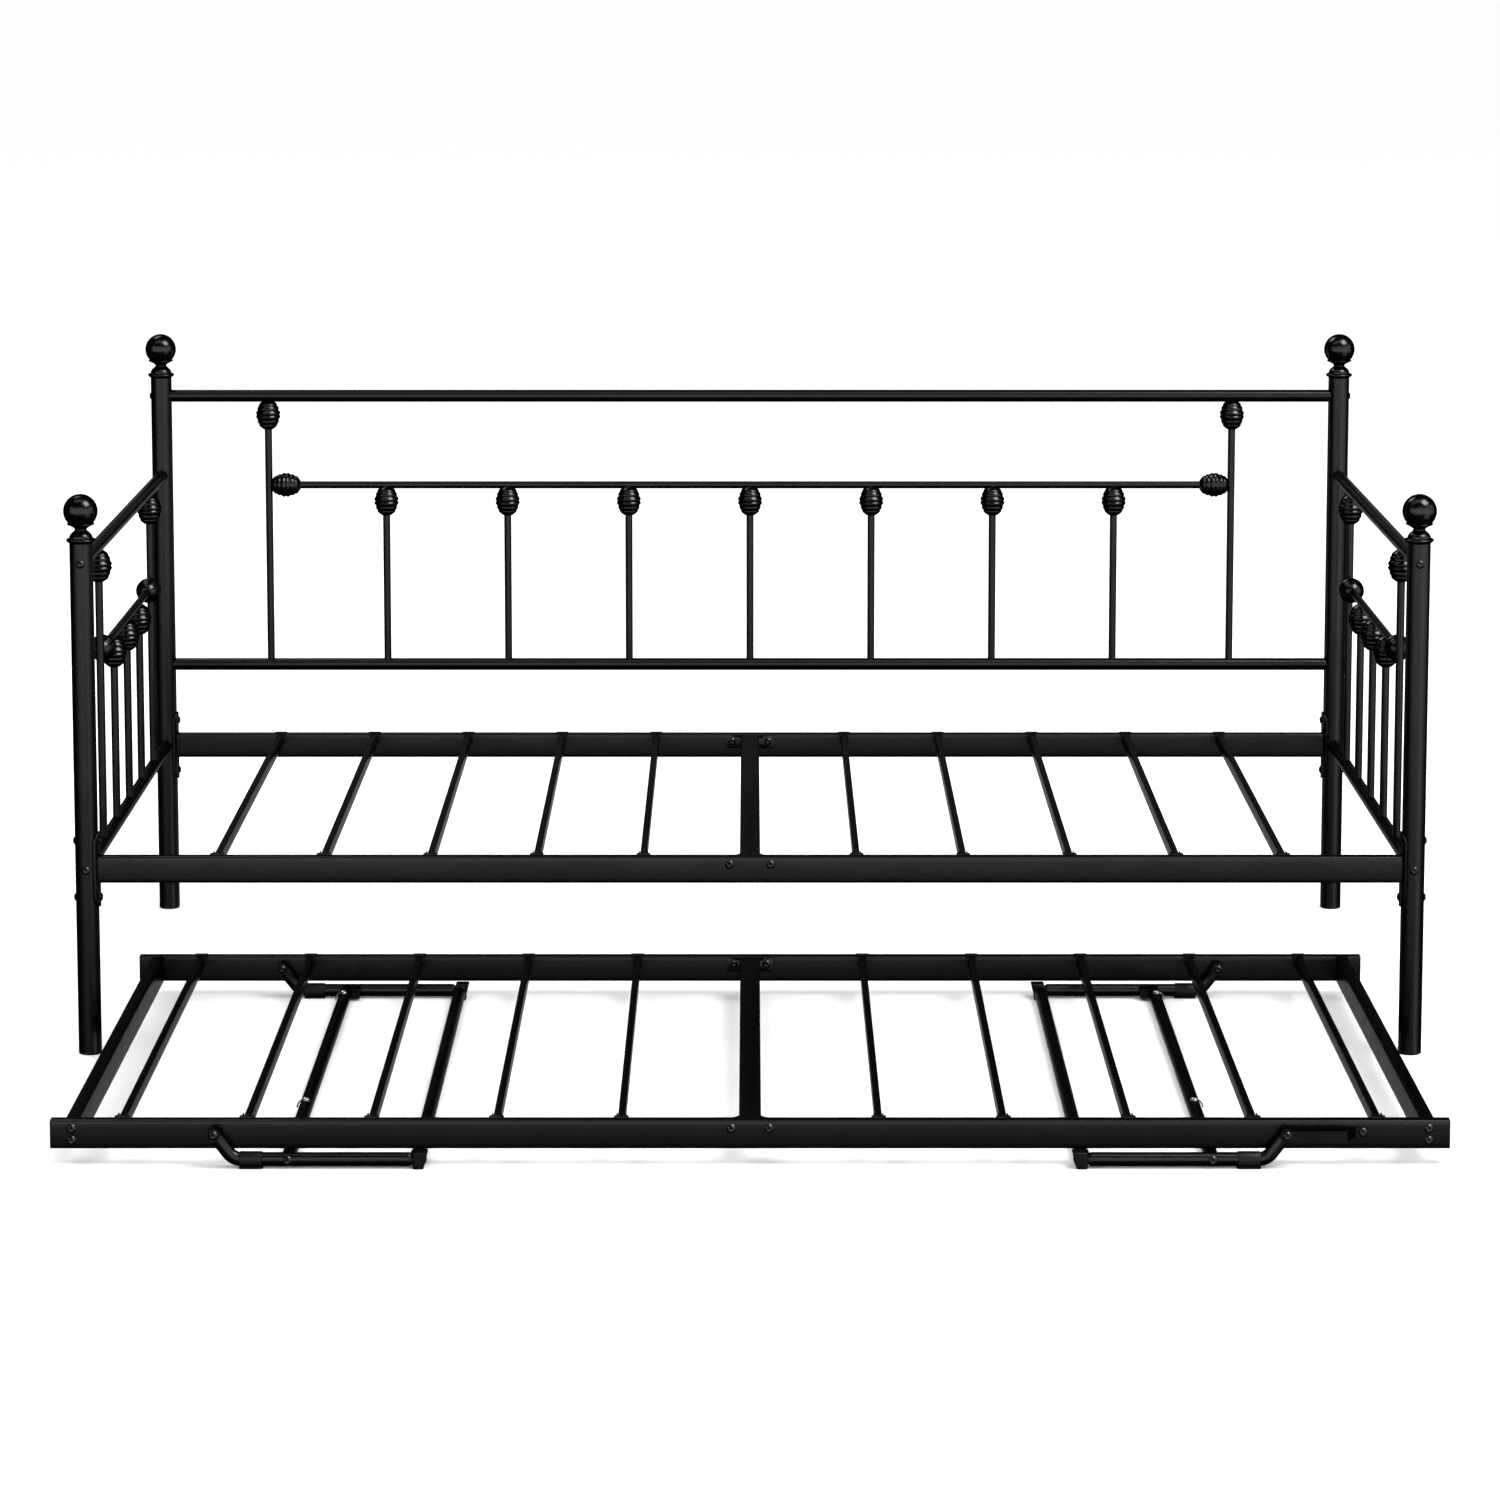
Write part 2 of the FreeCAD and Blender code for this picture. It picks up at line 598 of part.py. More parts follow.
def deck_slats(stations, front, rear, top):
    """Slats between two rail faces, with a clip at each end."""
    length = "(%s) - (%s)" % (rear, front)
    y = "((%s) + (%s)) / 2" % (front, rear)
    slats = []
    clips = []
    for x in stations:
        middle = (x, y, "%s - slat_height / 2" % top)
        outside = block(middle, "slat_width", length, "slat_height")
        inside = block(middle, "slat_width - 2 * slat_wall", length, "slat_height - 2 * slat_wall")
        slats.append(cut(outside, inside))
        clips.append(copy(clip, (x, front, top), "up", 180))
        clips.append(copy(clip, (x, rear, top)))
    return slats, clips


def centre_beam(front, rear, top, plate_length):
    """A box beam between two end plates, with corner gussets where they meet."""
    length = "(%s) - (%s) - 2 * plate_thick" % (rear, front)
    beam_top = "%s - beam_drop" % top
    beam = box_tube(length, "beam_width", "beam_height", "box_wall", "box_round / 2")
    place(beam, (0, "(%s) + plate_thick" % front, beam_top + " - beam_height / 2"), "up", 90)
    pieces = [beam]
    for face, way in ((front, 1), (rear, -1)):
        middle = (0, "(%s) + %d * plate_thick / 2" % (face, way), beam_top + " - plate_height / 2")
        pieces.append(block(middle, plate_length, "plate_thick", "plate_height"))
        roll = 0 if way > 0 else 180
        for side in SIDES.values():
            corner = ("%d * beam_width / 2" % side, "(%s) + %d * plate_thick" % (face, way))
            wedge = doc.addObject("Part::Wedge", "gusset")
            bind(wedge, Xmin=0, Ymin=0, Zmin=0, X2min=0, Z2min=0, X2max=0)
            bind(wedge, Xmax="gusset", Ymax="gusset", Zmax="plate_thick", Z2max="plate_thick")
            if side == way:
                place(wedge, corner + (beam_top + " - plate_thick",), "up", roll)
            else:
                place(wedge, corner + (beam_top,), "down", roll)
            pieces.append(wedge)
    return fuse(pieces)


# ---- Daybed: deck --------------------------------------------------------------------------------

for name, y in (("front", "front_y"), ("rear", REAR_Y)):
    rail = box_tube("2 * post_x", "box_depth", "box_height", "box_wall", "box_round")
    place(rail, ("-post_x", y, "deck_top - box_height / 2"))
    part("deck_%s_rail" % name, cut(rail, saddle_envelope, deck_beam_bolts))

deck_inner_front = "front_y + box_depth / 2"
stations = ["%d * deck_pitch" % number for number in range(-5, 6) if number]
slats, clips = deck_slats(stations, deck_inner_front, deck_rear, "deck_top")
part("deck_slats", group(slats))
part("deck_slat_clips", group(clips))
deck_beam = centre_beam(deck_inner_front, deck_rear, "deck_top", "deck_plate")
part("deck_centre_beam", cut(deck_beam, deck_beam_bolts))
part("deck_beam_bolts", deck_beam_bolts)

# ---- Trundle frame -------------------------------------------------------------------------------

pivots = {"left": [], "right": []}
spacers = []
spacer = cut(
    rod((0, 0, 0), "leg_gap - leg_radius - head_gap", "2 * pivot_radius"),
    rod((0, 0, 0), "leg_gap", "pivot_radius"),
)
for side_name, side in SIDES.items():
    x = "%d * pivot_x" % side
    for face in ("trundle_front", trundle_rear_face):
        strapped = side_name == "right" and face == "trundle_front"
        head = "%s - (%s)" % (face, leg_eye_front)
        if strapped:
            head += " - strap_thick"
        master = strap_pivot_bolt if strapped else pivot_bolt
        pivots[side_name].append(copy(master, (x, head, "pivot_z"), "front"))
        spacers.append(copy(spacer, (x, face, "pivot_z"), "front"))
strap_bolt = copy(corner_bolt, ("strap_bolt_x", "trundle_front - strap_thick", "pivot_z"), "front")
pivot_bolts = group(pivots["left"] + pivots["right"])

trundle_length = "2 * (trundle_half - end_cap_thick)"
trundle_middle_z = "trundle_top - box_height / 2"
for name, y in (("front", "trundle_front + box_depth / 2"), ("rear", trundle_rear_face + " + box_depth / 2")):
    rail = box_tube(trundle_length, "box_depth", "box_height", "box_wall", "box_round")
    place(rail, ("end_cap_thick - trundle_half", y, trundle_middle_z))
    part("trundle_%s_rail" % name, cut(rail, trundle_bolts, pivot_bolts, strap_bolt))

end_caps = []
for y in ("trundle_front + box_depth / 2", trundle_rear_face + " + box_depth / 2"):
    for side in SIDES.values():
        face = block(
            ("%d * (trundle_half - end_cap_thick / 2)" % side, y, trundle_middle_z),
            "end_cap_thick",
            "box_depth - 2 * end_cap_inset",
            "box_height - 2 * end_cap_inset",
        )
        plug = block(
            ("%d * (trundle_half - end_cap_thick - end_cap_plug / 2)" % side, y, trundle_middle_z),
            "end_cap_plug",
            "box_depth - 2 * box_wall",
            "box_height - 2 * box_wall",
        )
        end_caps.append(fuse([face, plug]))
part("trundle_end_caps", group(end_caps))

trundle_inner_front = "trundle_front + box_depth"
for side_name, side in SIDES.items():
    rail = box_tube("trundle_rear - box_depth", "box_depth", "box_height", "box_wall", "box_round")
    place(rail, ("%d * end_rail_x" % side, trundle_inner_front, trundle_middle_z), "up", 90)
    part("trundle_%s_end_rail" % side_name, cut(rail, trundle_bolts))
stations = [
    "%d * (first_slat_x + %d * trundle_pitch)" % (side, number) for side in (-1, 1) for number in range(5)
]
slats, clips = deck_slats(stations, trundle_inner_front, trundle_rear_face, "trundle_top")
part("trundle_slats", group(slats))
part("trundle_slat_clips", group(clips))
trundle_beam = centre_beam(trundle_inner_front, trundle_rear_face, "trundle_top", "trundle_plate")
part("trundle_centre_beam", cut(trundle_beam, trundle_bolts))
part("trundle_frame_bolts", group([trundle_bolts, strap_bolt]))
part("leg_pivot_bolts", group([pivot_bolts] + spacers))


def pivot_strap():
    """A flat strap from the front of the pivot bolt, stepped back to the face of the rail."""
    near = size("pivot_x") - size("strap_end")
    far = size("strap_bolt_x") + size("strap_end")
    out = size("leg_gap") + size("leg_radius") + size("head_gap")
    thick = size("strap_thick")
    joggle = size("strap_joggle_x")
    land = size("strap_land_x")
    front_side = [(near, -out), (joggle + thick / 2, -out), (land + thick / 2, 0), (far, 0)]
    rear_side = [(far, 0), (land - thick / 2, 0), (joggle - thick / 2, -out), (near, -out)]
    corners = [Vector(x, y + size("trundle_front") - thick) for x, y in front_side]
    corners += [Vector(x, y + size("trundle_front")) for x, y in rear_side]
    profile = Part.Face(Part.makePolygon(corners + corners[:1]))
    strap = profile.extrude(Vector(0, 0, size("strap_height")))
    boxes = [(edge, edge.BoundBox) for edge in strap.Edges]
    across = [(edge, box) for edge, box in boxes if box.XLength < 0.01 and box.YLength > 1]
    ends = [edge for edge, box in across if min(abs(box.XMin - near), abs(box.XMin - far)) < 0.01]
    return strap.makeFillet(size("strap_round"), ends)


strap = doc.addObject("Part::Feature", "strap")
strap.Shape = pivot_strap()
strap.Placement = FreeCAD.Placement(Vector(0, 0, size("pivot_z") - size("strap_height") / 2), Rotation())
part("pivot_strap", cut(strap, pivot_bolts, strap_bolt))

# ---- Folding legs --------------------------------------------------------------------------------

leg_axes = {"front": "trundle_front - leg_gap", "rear": trundle_rear_face + " - leg_gap"}
elbow_x = "foot_bar_x + foot_half"
leg_drop = "pivot_z - leg_z"
leg_splay = "pivot_x - leg_bend_x"


def leg_tube():
    """A bent tube from the elbow at the origin, along its own -X, then up to the pivot."""
    body = doc.addObject("PartDesign::Body", "leg_tube")
    path = sketch_on(body, "XZ_Plane", "path")
    radius = size("leg_bend_radius")
    drop = size("pivot_z") - size("leg_z")
    splay = size("pivot_x") - size("leg_bend_x")
    rise = math.atan2(drop, splay)
    straight = size("leg_bend_x") - size("foot_bar_x") - size("foot_half") - radius * math.tan(rise / 2)
    start = Vector(-straight, 0, 0)
    centre = start + Vector(0, radius, 0)
    finish = centre + Vector(-radius * math.sin(rise), -radius * math.cos(rise), 0)
    pivot = Vector(size("foot_bar_x") + size("foot_half") - size("pivot_x"), drop, 0)
    circle = Part.Circle(centre, Z_AXIS, radius)
    path.addGeometry(Part.LineSegment(ORIGIN, start))
    path.addGeometry(Part.ArcOfCircle(circle, 1.5 * math.pi - rise, 1.5 * math.pi))
    path.addGeometry(Part.LineSegment(finish, pivot))
    path.addConstraint(Sketcher.Constraint("Coincident", 0, 1, -1, 1))
    path.addConstraint(Sketcher.Constraint("Horizontal", 0))
    path.addConstraint(Sketcher.Constraint("Tangent", 0, 2, 1, 2))
    path.addConstraint(Sketcher.Constraint("Tangent", 1, 1, 2, 1))
    bend = path.addConstraint(Sketcher.Constraint("Radius", 1, radius))
    path.setExpression("Constraints[%d]" % bend, formula("leg_bend_radius"))
    up = path.addConstraint(Sketcher.Constraint("DistanceY", -1, 1, 2, 2, drop))
    path.setExpression("Constraints[%d]" % up, formula(leg_drop))
    out = path.addConstraint(Sketcher.Constraint("DistanceX", 2, 2, -1, 1, -pivot.x))
    path.setExpression("Constraints[%d]" % out, formula("pivot_x - (%s)" % elbow_x))
    along = path.addConstraint(Sketcher.Constraint("DistanceX", 0, 2, 0, 1, straight))
    tangent = "leg_bend_radius * tan(atan((%s) / (%s)) / 2)" % (leg_drop, leg_splay)
    path.setExpression("Constraints[%d]" % along, formula("leg_bend_x - (%s) - %s" % (elbow_x, tangent)))
    section = sketch_on(body, "YZ_Plane", "section")
    for number, radius_text in enumerate(("leg_radius", "leg_radius - leg_wall")):
        value = size("leg_radius") - number * size("leg_wall")
        section.addGeometry(Part.Circle(ORIGIN, Z_AXIS, value))
        section.addConstraint(Sketcher.Constraint("Coincident", number, 3, -1, 1))
        bound = section.addConstraint(Sketcher.Constraint("Radius", number, value))
        section.setExpression("Constraints[%d]" % bound, formula(radius_text))
    pipe = body.newObject("PartDesign::AdditivePipe", "pipe")
    pipe.Profile = section
    pipe.Spine = path
    eye_at = ("%s - pivot_x" % elbow_x, "-leg_radius", leg_drop)
    eye = rod(eye_at, "2 * leg_radius", "leg_radius", "back")
    bore = rod(eye_at, "2 * leg_radius", "pivot_radius + pivot_clearance", "back")
    return cut(fuse([body, eye]), bore)


def elbow_foot(way):
    """A moulded elbow: spigots along its own -X and along Y (way), and a sole on its +X side."""
    bend = [
        rod((0, 0, 0), "foot_half", "foot_half - foot_ease", "left"),
        rod((0, 0, 0), "foot_half", "foot_half - foot_ease", "back" if way > 0 else "front"),
        solid("Sphere", Radius="foot_half - foot_ease"),
    ]
    heel = block((0, 0, "-leg_z / 2"), "2 * foot_half", "2 * foot_half", "leg_z")
    sole_x = "foot_half + sole_thick / 2"
    sole = block((sole_x, 0, "sole_height / 2 - leg_z"), "sole_thick", "2 * sole_half", "sole_height")
    neck = rod((0, 0, 0), "foot_half + sole_thick / 2", "leg_radius - leg_wall", "right")
    spigot = "foot_half + spigot_length"
    spigots = [
        rod((0, 0, 0), spigot, "leg_radius - leg_wall", "left"),
        rod((0, 0, 0), spigot, "leg_radius - leg_wall", "back" if way > 0 else "front"),
    ]
    return fuse(bend + [heel, neck, sole] + spigots)


bent_tube = leg_tube()
leg_elbows = {1: elbow_foot(1), -1: elbow_foot(-1)}
leg_pad = cut(
    fuse(
        [
            rod(("-pad_length / 2", 0, "leg_z"), "pad_length", "pad_radius", "right"),
            block((0, 0, "leg_z / 2"), "pad_length", "2 * pad_radius", "leg_z"),
        ]
    ),
    rod(("-pad_length / 2", 0, "leg_z"), "pad_length", "leg_radius", "right"),
)
lock_pin = fuse(
    [
        rod((0, 0, "-leg_radius"), "2 * leg_radius + pin_rise", "pin_head / 2"),
        solid("Sphere", (0, 0, "leg_radius + pin_rise / 2"), Radius="pin_head", Angle1="0"),
        solid(
            "Torus",
            (0, 0, 0),
            "front",
            Radius1="bail_radius",
            Radius2="bail_wire",
            Angle3="bail_sweep",
        ),
    ]
)

for side_name, side in SIDES.items():
    inwards = "right" if side < 0 else "left"
    roll = 0 if side < 0 else 180
    way_of = {"front": 1 if side < 0 else -1, "rear": -1 if side < 0 else 1}
    brace_x = "%d * brace_bar_x" % side
    bolts = copy(brace_bolt, (brace_x, leg_axes["front"] + " - leg_radius + head_sink", "leg_z"), "front")
    feet = []
    pads = []
    for row_name, y in leg_axes.items():
        feet.append(copy(leg_elbows[way_of[row_name]], ("%d * foot_bar_x" % side, y, "leg_z"), "up", roll))
        pads.append(copy(leg_pad, ("%d * pad_x" % side, y, 0)))

    leg_tubes = []
    for row_name, y in leg_axes.items():
        tube = copy(bent_tube, ("%d * (%s)" % (side, elbow_x), y, "leg_z"), "up", roll)
        leg_tubes.append(part("%s_leg_%s_tube" % (side_name, row_name), cut(tube, bolts)))

    bar_start = "trundle_front - leg_gap + foot_half"
    bar_length = "trundle_rear - 2 * foot_half"
    bar_places = [("%d * foot_bar_x" % side, bar_start, "leg_z")]
    part(side_name + "_leg_foot_bar", tubes(bar_places, bar_length, "leg_radius", "leg_wall", "back"))

    brace_at = (brace_x, leg_axes["front"], "leg_z")
    lug_x = "%d * (brace_bar_x - leg_radius / 2 - lug_width / 2)" % side
    lug_y = leg_axes["rear"] + " - leg_radius / 2 - lug_depth / 2"
    lug = block((lug_x, lug_y, "leg_z"), "leg_radius + lug_width", "leg_radius + lug_depth", "lug_height")
    brace = fuse([rod(brace_at, "trundle_rear", "leg_radius", "back"), lug])
    brace = cut(brace, rod(brace_at, "trundle_rear", "leg_radius - leg_wall", "back"))
    leg_solids = [
        rod(("%d * pad_x" % side, y, "leg_z"), "pad_x - foot_bar_x", "leg_radius", inwards)
        for y in leg_axes.values()
    ]
    pin_places = [(brace_x, "trundle_front + " + y, "leg_z") for y in ("pin_front", "pin_rear")]
    pins = group([copy(lock_pin, at, "up", roll) for at in pin_places])
    part(side_name + "_leg_brace_bar", cut(brace, group(leg_solids), bolts, pins))
    part(side_name + "_leg_elbow_feet", group(feet))
    part(side_name + "_leg_pads", cut(group(pads), *leg_tubes))
    part(side_name + "_leg_lock_pins", pins)
    part(side_name + "_leg_brace_bolts", bolts)

# ---- Check and write -----------------------------------------------------------------------------

doc.recompute()
for item in doc.Objects:
    if {"Invalid", "Error"} & set(item.State):
        raise RuntimeError("%s (%s) did not build: %s" % (item.Label, item.Name, item.State))
for name, piece in parts.items():
    if piece.Shape.isNull() or not piece.Shape.isValid() or not piece.Shape.Solids:
        raise RuntimeError("%s has no valid solid" % name)
if len(parts) > 60:
    raise RuntimeError("%d nodes are more than 60" % len(parts))

os.makedirs("parts", exist_ok=True)
bounds = FreeCAD.BoundBox()
for name, piece in parts.items():
    piece.Shape.exportStep(os.path.join("parts", name + ".step"))
    bounds.add(piece.Shape.BoundBox)
print("%d sub-parts, outline %s" % (len(parts), bounds))
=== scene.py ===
"""Looks of a black metal daybed with a pull-out trundle. Metres, in the CAD model's own frame."""

import json
import math

import bmesh
import bpy
import numpy
from mathutils import Matrix, Vector


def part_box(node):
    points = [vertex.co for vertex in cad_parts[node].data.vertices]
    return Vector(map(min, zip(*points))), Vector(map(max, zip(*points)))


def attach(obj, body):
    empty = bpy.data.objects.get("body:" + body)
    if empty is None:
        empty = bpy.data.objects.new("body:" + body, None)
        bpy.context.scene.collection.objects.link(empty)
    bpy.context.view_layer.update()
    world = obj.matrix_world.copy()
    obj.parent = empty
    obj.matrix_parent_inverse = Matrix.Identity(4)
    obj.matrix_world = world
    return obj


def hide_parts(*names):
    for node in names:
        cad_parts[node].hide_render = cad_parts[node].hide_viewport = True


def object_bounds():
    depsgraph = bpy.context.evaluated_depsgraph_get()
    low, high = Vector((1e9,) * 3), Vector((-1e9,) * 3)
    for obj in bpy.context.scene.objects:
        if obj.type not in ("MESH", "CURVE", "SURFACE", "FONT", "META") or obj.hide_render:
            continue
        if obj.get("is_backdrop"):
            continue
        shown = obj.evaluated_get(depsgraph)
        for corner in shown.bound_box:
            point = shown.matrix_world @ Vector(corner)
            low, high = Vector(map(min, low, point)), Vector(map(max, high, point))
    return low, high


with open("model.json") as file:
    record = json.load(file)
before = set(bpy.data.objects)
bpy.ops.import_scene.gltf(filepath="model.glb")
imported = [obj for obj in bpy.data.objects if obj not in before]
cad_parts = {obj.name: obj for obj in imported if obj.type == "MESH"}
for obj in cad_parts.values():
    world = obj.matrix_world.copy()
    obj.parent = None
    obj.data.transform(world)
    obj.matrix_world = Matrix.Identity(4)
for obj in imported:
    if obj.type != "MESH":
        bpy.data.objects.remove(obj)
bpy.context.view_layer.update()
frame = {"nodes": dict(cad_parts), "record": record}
BODY_OF = {node: body for body, nodes in frame["record"]["behaviour"]["bodies"].items() for node in nodes}
SLOT_OF = {row["node"]: row["material_slot"] for row in frame["record"]["subparts"]}
MM = 0.001
UP = Vector((0, 0, 1))
BACK = Vector((0, 1, 0))
RIGHT = Vector((1, 0, 0))


def middle(node):
    low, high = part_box(node)
    return (Vector(low) + Vector(high)) / 2


def link(obj):
    bpy.context.scene.collection.objects.link(obj)
    return obj


# ---- Camera, floor and light ------------------------------------------------------------------------

FRONT_PLANE = middle("front_left_post").y

# The view looks down a little and is shifted down as well, which keeps the posts nearly parallel.
CAMERA_BACK = 7.072
CAMERA_HEIGHT = 1.7645
CAMERA_PITCH = 7.896
CAMERA_LENS = 118.25
CAMERA_SHIFT = -0.15


def make_camera():
    data = bpy.data.cameras.new("camera")
    data.sensor_width = 36
    data.lens = CAMERA_LENS
    data.shift_y = CAMERA_SHIFT
    data.clip_end = 60
    camera = link(bpy.data.objects.new("camera", data))
    camera.location = (0, FRONT_PLANE - CAMERA_BACK, CAMERA_HEIGHT)
    camera.rotation_euler = (math.radians(90 - CAMERA_PITCH), 0, 0)
    bpy.context.scene.camera = camera


def make_floor():
    """A pale floor that reflections don't show. It casts no shadow, so the low lights shine through it."""
    mesh = bpy.data.meshes.new("floor")
    reach = 60
    corners = [(-reach, -reach, 0), (reach, -reach, 0), (reach, reach, 0), (-reach, reach, 0)]
    mesh.from_pydata(corners, [], [(0, 1, 2, 3)])
    floor = link(bpy.data.objects.new("floor", mesh))
    material = bpy.data.materials.new("pale_floor")
    material.use_nodes = True
    shader = material.node_tree.nodes["Principled BSDF"]
    shader.inputs["Base Color"].default_value = (0.92, 0.92, 0.92, 1)
    shader.inputs["Roughness"].default_value = 0.9
    shader.inputs["Specular IOR Level"].default_value = 0.05
    mesh.materials.append(material)
    floor.visible_glossy = False
    floor.visible_shadow = False
    floor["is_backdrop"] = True


LIGHT_TARGET = Vector((0, 0, 0.45))


def area_light(name, azimuth, elevation, distance, size, radiance, diffuse):
    """A softbox that looks at the bed. Azimuth 0 is the front and 90 the right, in degrees."""
    turn, rise = math.radians(azimuth), math.radians(elevation)
    way = Vector((math.sin(turn) * math.cos(rise), -math.cos(turn) * math.cos(rise), math.sin(rise)))
    data = bpy.data.lights.new(name, "AREA")
    data.shape = "RECTANGLE"
    data.size, data.size_y = size
    data.energy = radiance * math.pi * size[0] * size[1]
    data.diffuse_factor = diffuse
    light = link(bpy.data.objects.new(name, data))
    light.location = LIGHT_TARGET + way * distance
    light.rotation_euler = (-way).to_track_quat("-Z", "Y").to_euler()
    light.visible_camera = False


def make_world():
    """White all round for the floor and the camera, and nearly black in reflections."""
    world = bpy.data.worlds.new("studio")
    bpy.context.scene.world = world
    world.use_nodes = True
    nodes = world.node_tree.nodes
    links = world.node_tree.links
    background = nodes["Background"]
    background.inputs["Color"].default_value = (1, 1, 1, 1)
    path = nodes.new("ShaderNodeLightPath")
    dimmer = nodes.new("ShaderNodeMapRange")
    dimmer.inputs["To Min"].default_value = 1.1
    dimmer.inputs["To Max"].default_value = 0.02
    links.new(path.outputs["Is Glossy Ray"], dimmer.inputs["Value"])
    links.new(dimmer.outputs["Result"], background.inputs["Strength"])


def make_lights():
    """Softboxes for the gloss on the tubes. They add little to the floor, which the world lights."""
    area_light("front", 0, 9.5, 5.5, (14, 4.3), 0.95, 0.03)
    area_light("left", -60, 11, 6.5, (1.6, 3.6), 0.9, 0.03)
    area_light("right", 74, 11, 5.5, (4.6, 3.6), 0.9, 0.03)
    area_light("back", 180, 22, 5.5, (8, 3.2), 0.4, 0.03)
    for azimuth in (-135, 52, 135, 180):
        area_light("low_%d" % azimuth, azimuth, -18, 6.0, (3.6, 3.4), 0.6, 0.0)
    area_light("key", 62, 55, 8.0, (4.0, 4.0), 8, 0.1)
    area_light("back_key", 215, 50, 8.0, (3.0, 3.0), 6, 0.12)
    area_light("top", 0, 78, 4.0, (6.0, 1.1), 0.85, 0.1)


make_camera()
make_floor()
make_world()
make_lights()
bpy.context.scene.view_settings.view_transform = "Standard"

# ---- Materials --------------------------------------------------------------------------------------


def add(tree, kind, **values):
    node = tree.nodes.new("ShaderNode" + kind)
    for name, value in values.items():
        if name in node.inputs:
            node.inputs[name].default_value = value
        else:
            setattr(node, name, value)
    return node


def noise(tree, scale, detail=2.0, roughness=0.5):
    """Noise in the piece's own space, so that it moves with the piece."""
    place = add(tree, "TexCoord")
    texture = add(tree, "TexNoise", Scale=scale, Detail=detail, Roughness=roughness)
    tree.links.new(place.outputs["Object"], texture.inputs["Vector"])
    return texture


def spread(tree, source, low, high, start=0.3, stop=0.7):
    """A value from low to high as the source goes from start to stop."""
    ramp = add(tree, "MapRange")
    for name, value in (("From Min", start), ("From Max", stop), ("To Min", low), ("To Max", high)):
        ramp.inputs[name].default_value = value
    tree.links.new(source, ramp.inputs["Value"])
    return ramp.outputs["Result"]


def coated(name, dark, light, roughness, peel, grain, edge):
    """A coated surface. peel and grain are each the scale and height, in mm, of a layer of bumps.

    Edge is how bright it is seen edge on. The coat is a dark metal to the shader, so that it stays black
    except where it mirrors a light.
    """
    material = bpy.data.materials.new(name)
    material.use_nodes = True
    tree = material.node_tree
    shader = tree.nodes["Principled BSDF"]
    shader.inputs["Metallic"].default_value = 1.0
    shader.inputs["Specular Tint"].default_value = (edge, edge, edge, 1)
    patches = noise(tree, scale=9, detail=3)
    blend = add(tree, "Mix", data_type="RGBA")
    blend.inputs["A"].default_value = (*dark, 1)
    blend.inputs["B"].default_value = (*light, 1)
    tree.links.new(spread(tree, patches.outputs["Fac"], 0, 1), blend.inputs["Factor"])
    tree.links.new(blend.outputs["Result"], shader.inputs["Base Color"])
    smears = noise(tree, scale=30, detail=4, roughness=0.6)
    tree.links.new(spread(tree, smears.outputs["Fac"], *roughness), shader.inputs["Roughness"])
    normal = None
    for scale, height in (peel, grain):
        bump = add(tree, "Bump", Strength=1.0, Distance=height * MM)
        tree.links.new(noise(tree, scale, detail=1).outputs["Fac"], bump.inputs["Height"])
        if normal:
            tree.links.new(normal, bump.inputs["Normal"])
        normal = bump.outputs["Normal"]
    tree.links.new(normal, shader.inputs["Normal"])
    return material


def grey(value):
    return (value, value, value)


# Each slot's darkest and lightest colour, roughness, peel, grain and edge.
COATS = {
    "black_tube": (grey(0.042), grey(0.049), (0.26, 0.30), (420, 0.004), (1700, 0.0015), 0.3),
    "gloss_casting": (grey(0.048), grey(0.054), (0.19, 0.23), (60, 0.005), (900, 0.001), 0.0),
    "black_plastic": (grey(0.034), grey(0.044), (0.40, 0.50), (300, 0.03), (2600, 0.015), 0.3),
    "black_fastener": (grey(0.055), grey(0.08), (0.22, 0.32), (500, 0.015), (2400, 0.008), 0.0),
    "bright_pin": ((0.50, 0.51, 0.53), (0.66, 0.67, 0.69), (0.16, 0.30), (260, 0.03), (2000, 0.010), 1.0),
}
MATERIALS = {slot: coated(slot, *coat) for slot, coat in COATS.items()}
for name, node in frame["nodes"].items():
    node.data.materials.clear()
    node.data.materials.append(MATERIALS[SLOT_OF[name]])

# ---- Shapes -----------------------------------------------------------------------------------------


class Shape:
    """The vertices and faces of one piece, in metres."""

    def __init__(self):
        self.points = []
        self.faces = []

    def put(self, points, faces, place):
        start = len(self.points)
        self.points += [place @ Vector(point) for point in points]
        self.faces += [[start + corner for corner in face] for face in faces]

    def loft(self, rings, place, loop=False):
        """Skins rings of equally many points, in millimetres. A loop joins the last ring to the first."""
        count = len(rings[0])
        points = [point for ring in rings for point in ring]
        faces = []
        last = len(rings) if loop else len(rings) - 1
        for row in range(last):
            here, there = row * count, (row + 1) % len(rings) * count
            for column in range(count):
                beside = (column + 1) % count
                faces.append([here + column, here + beside, there + beside, there + column])
        if not loop:
            faces.append(list(range(count))[::-1])
            faces.append([(len(rings) - 1) * count + column for column in range(count)])
        self.put(points, faces, place)

    def turn(self, profile, place, segments=48, loop=False):
        """A turned solid about Z, from (radius, height) pairs in millimetres."""
        self.loft([circle(radius, height, segments) for radius, height in profile], place, loop)


def circle(radius, height, segments):
    steps = [2 * math.pi * number / segments for number in range(segments)]
    return [(radius * math.cos(step), radius * math.sin(step), height) for step in steps]


def stand(at, facing=UP, roll=0.0):
    """Puts a shape in millimetres at a point in metres, with its Z towards a direction."""
    turn = Vector(facing).to_track_quat("Z", "Y").to_matrix().to_4x4()
    return Matrix.Translation(at) @ turn @ Matrix.Rotation(math.radians(roll), 4, "Z") @ Matrix.Scale(MM, 4)


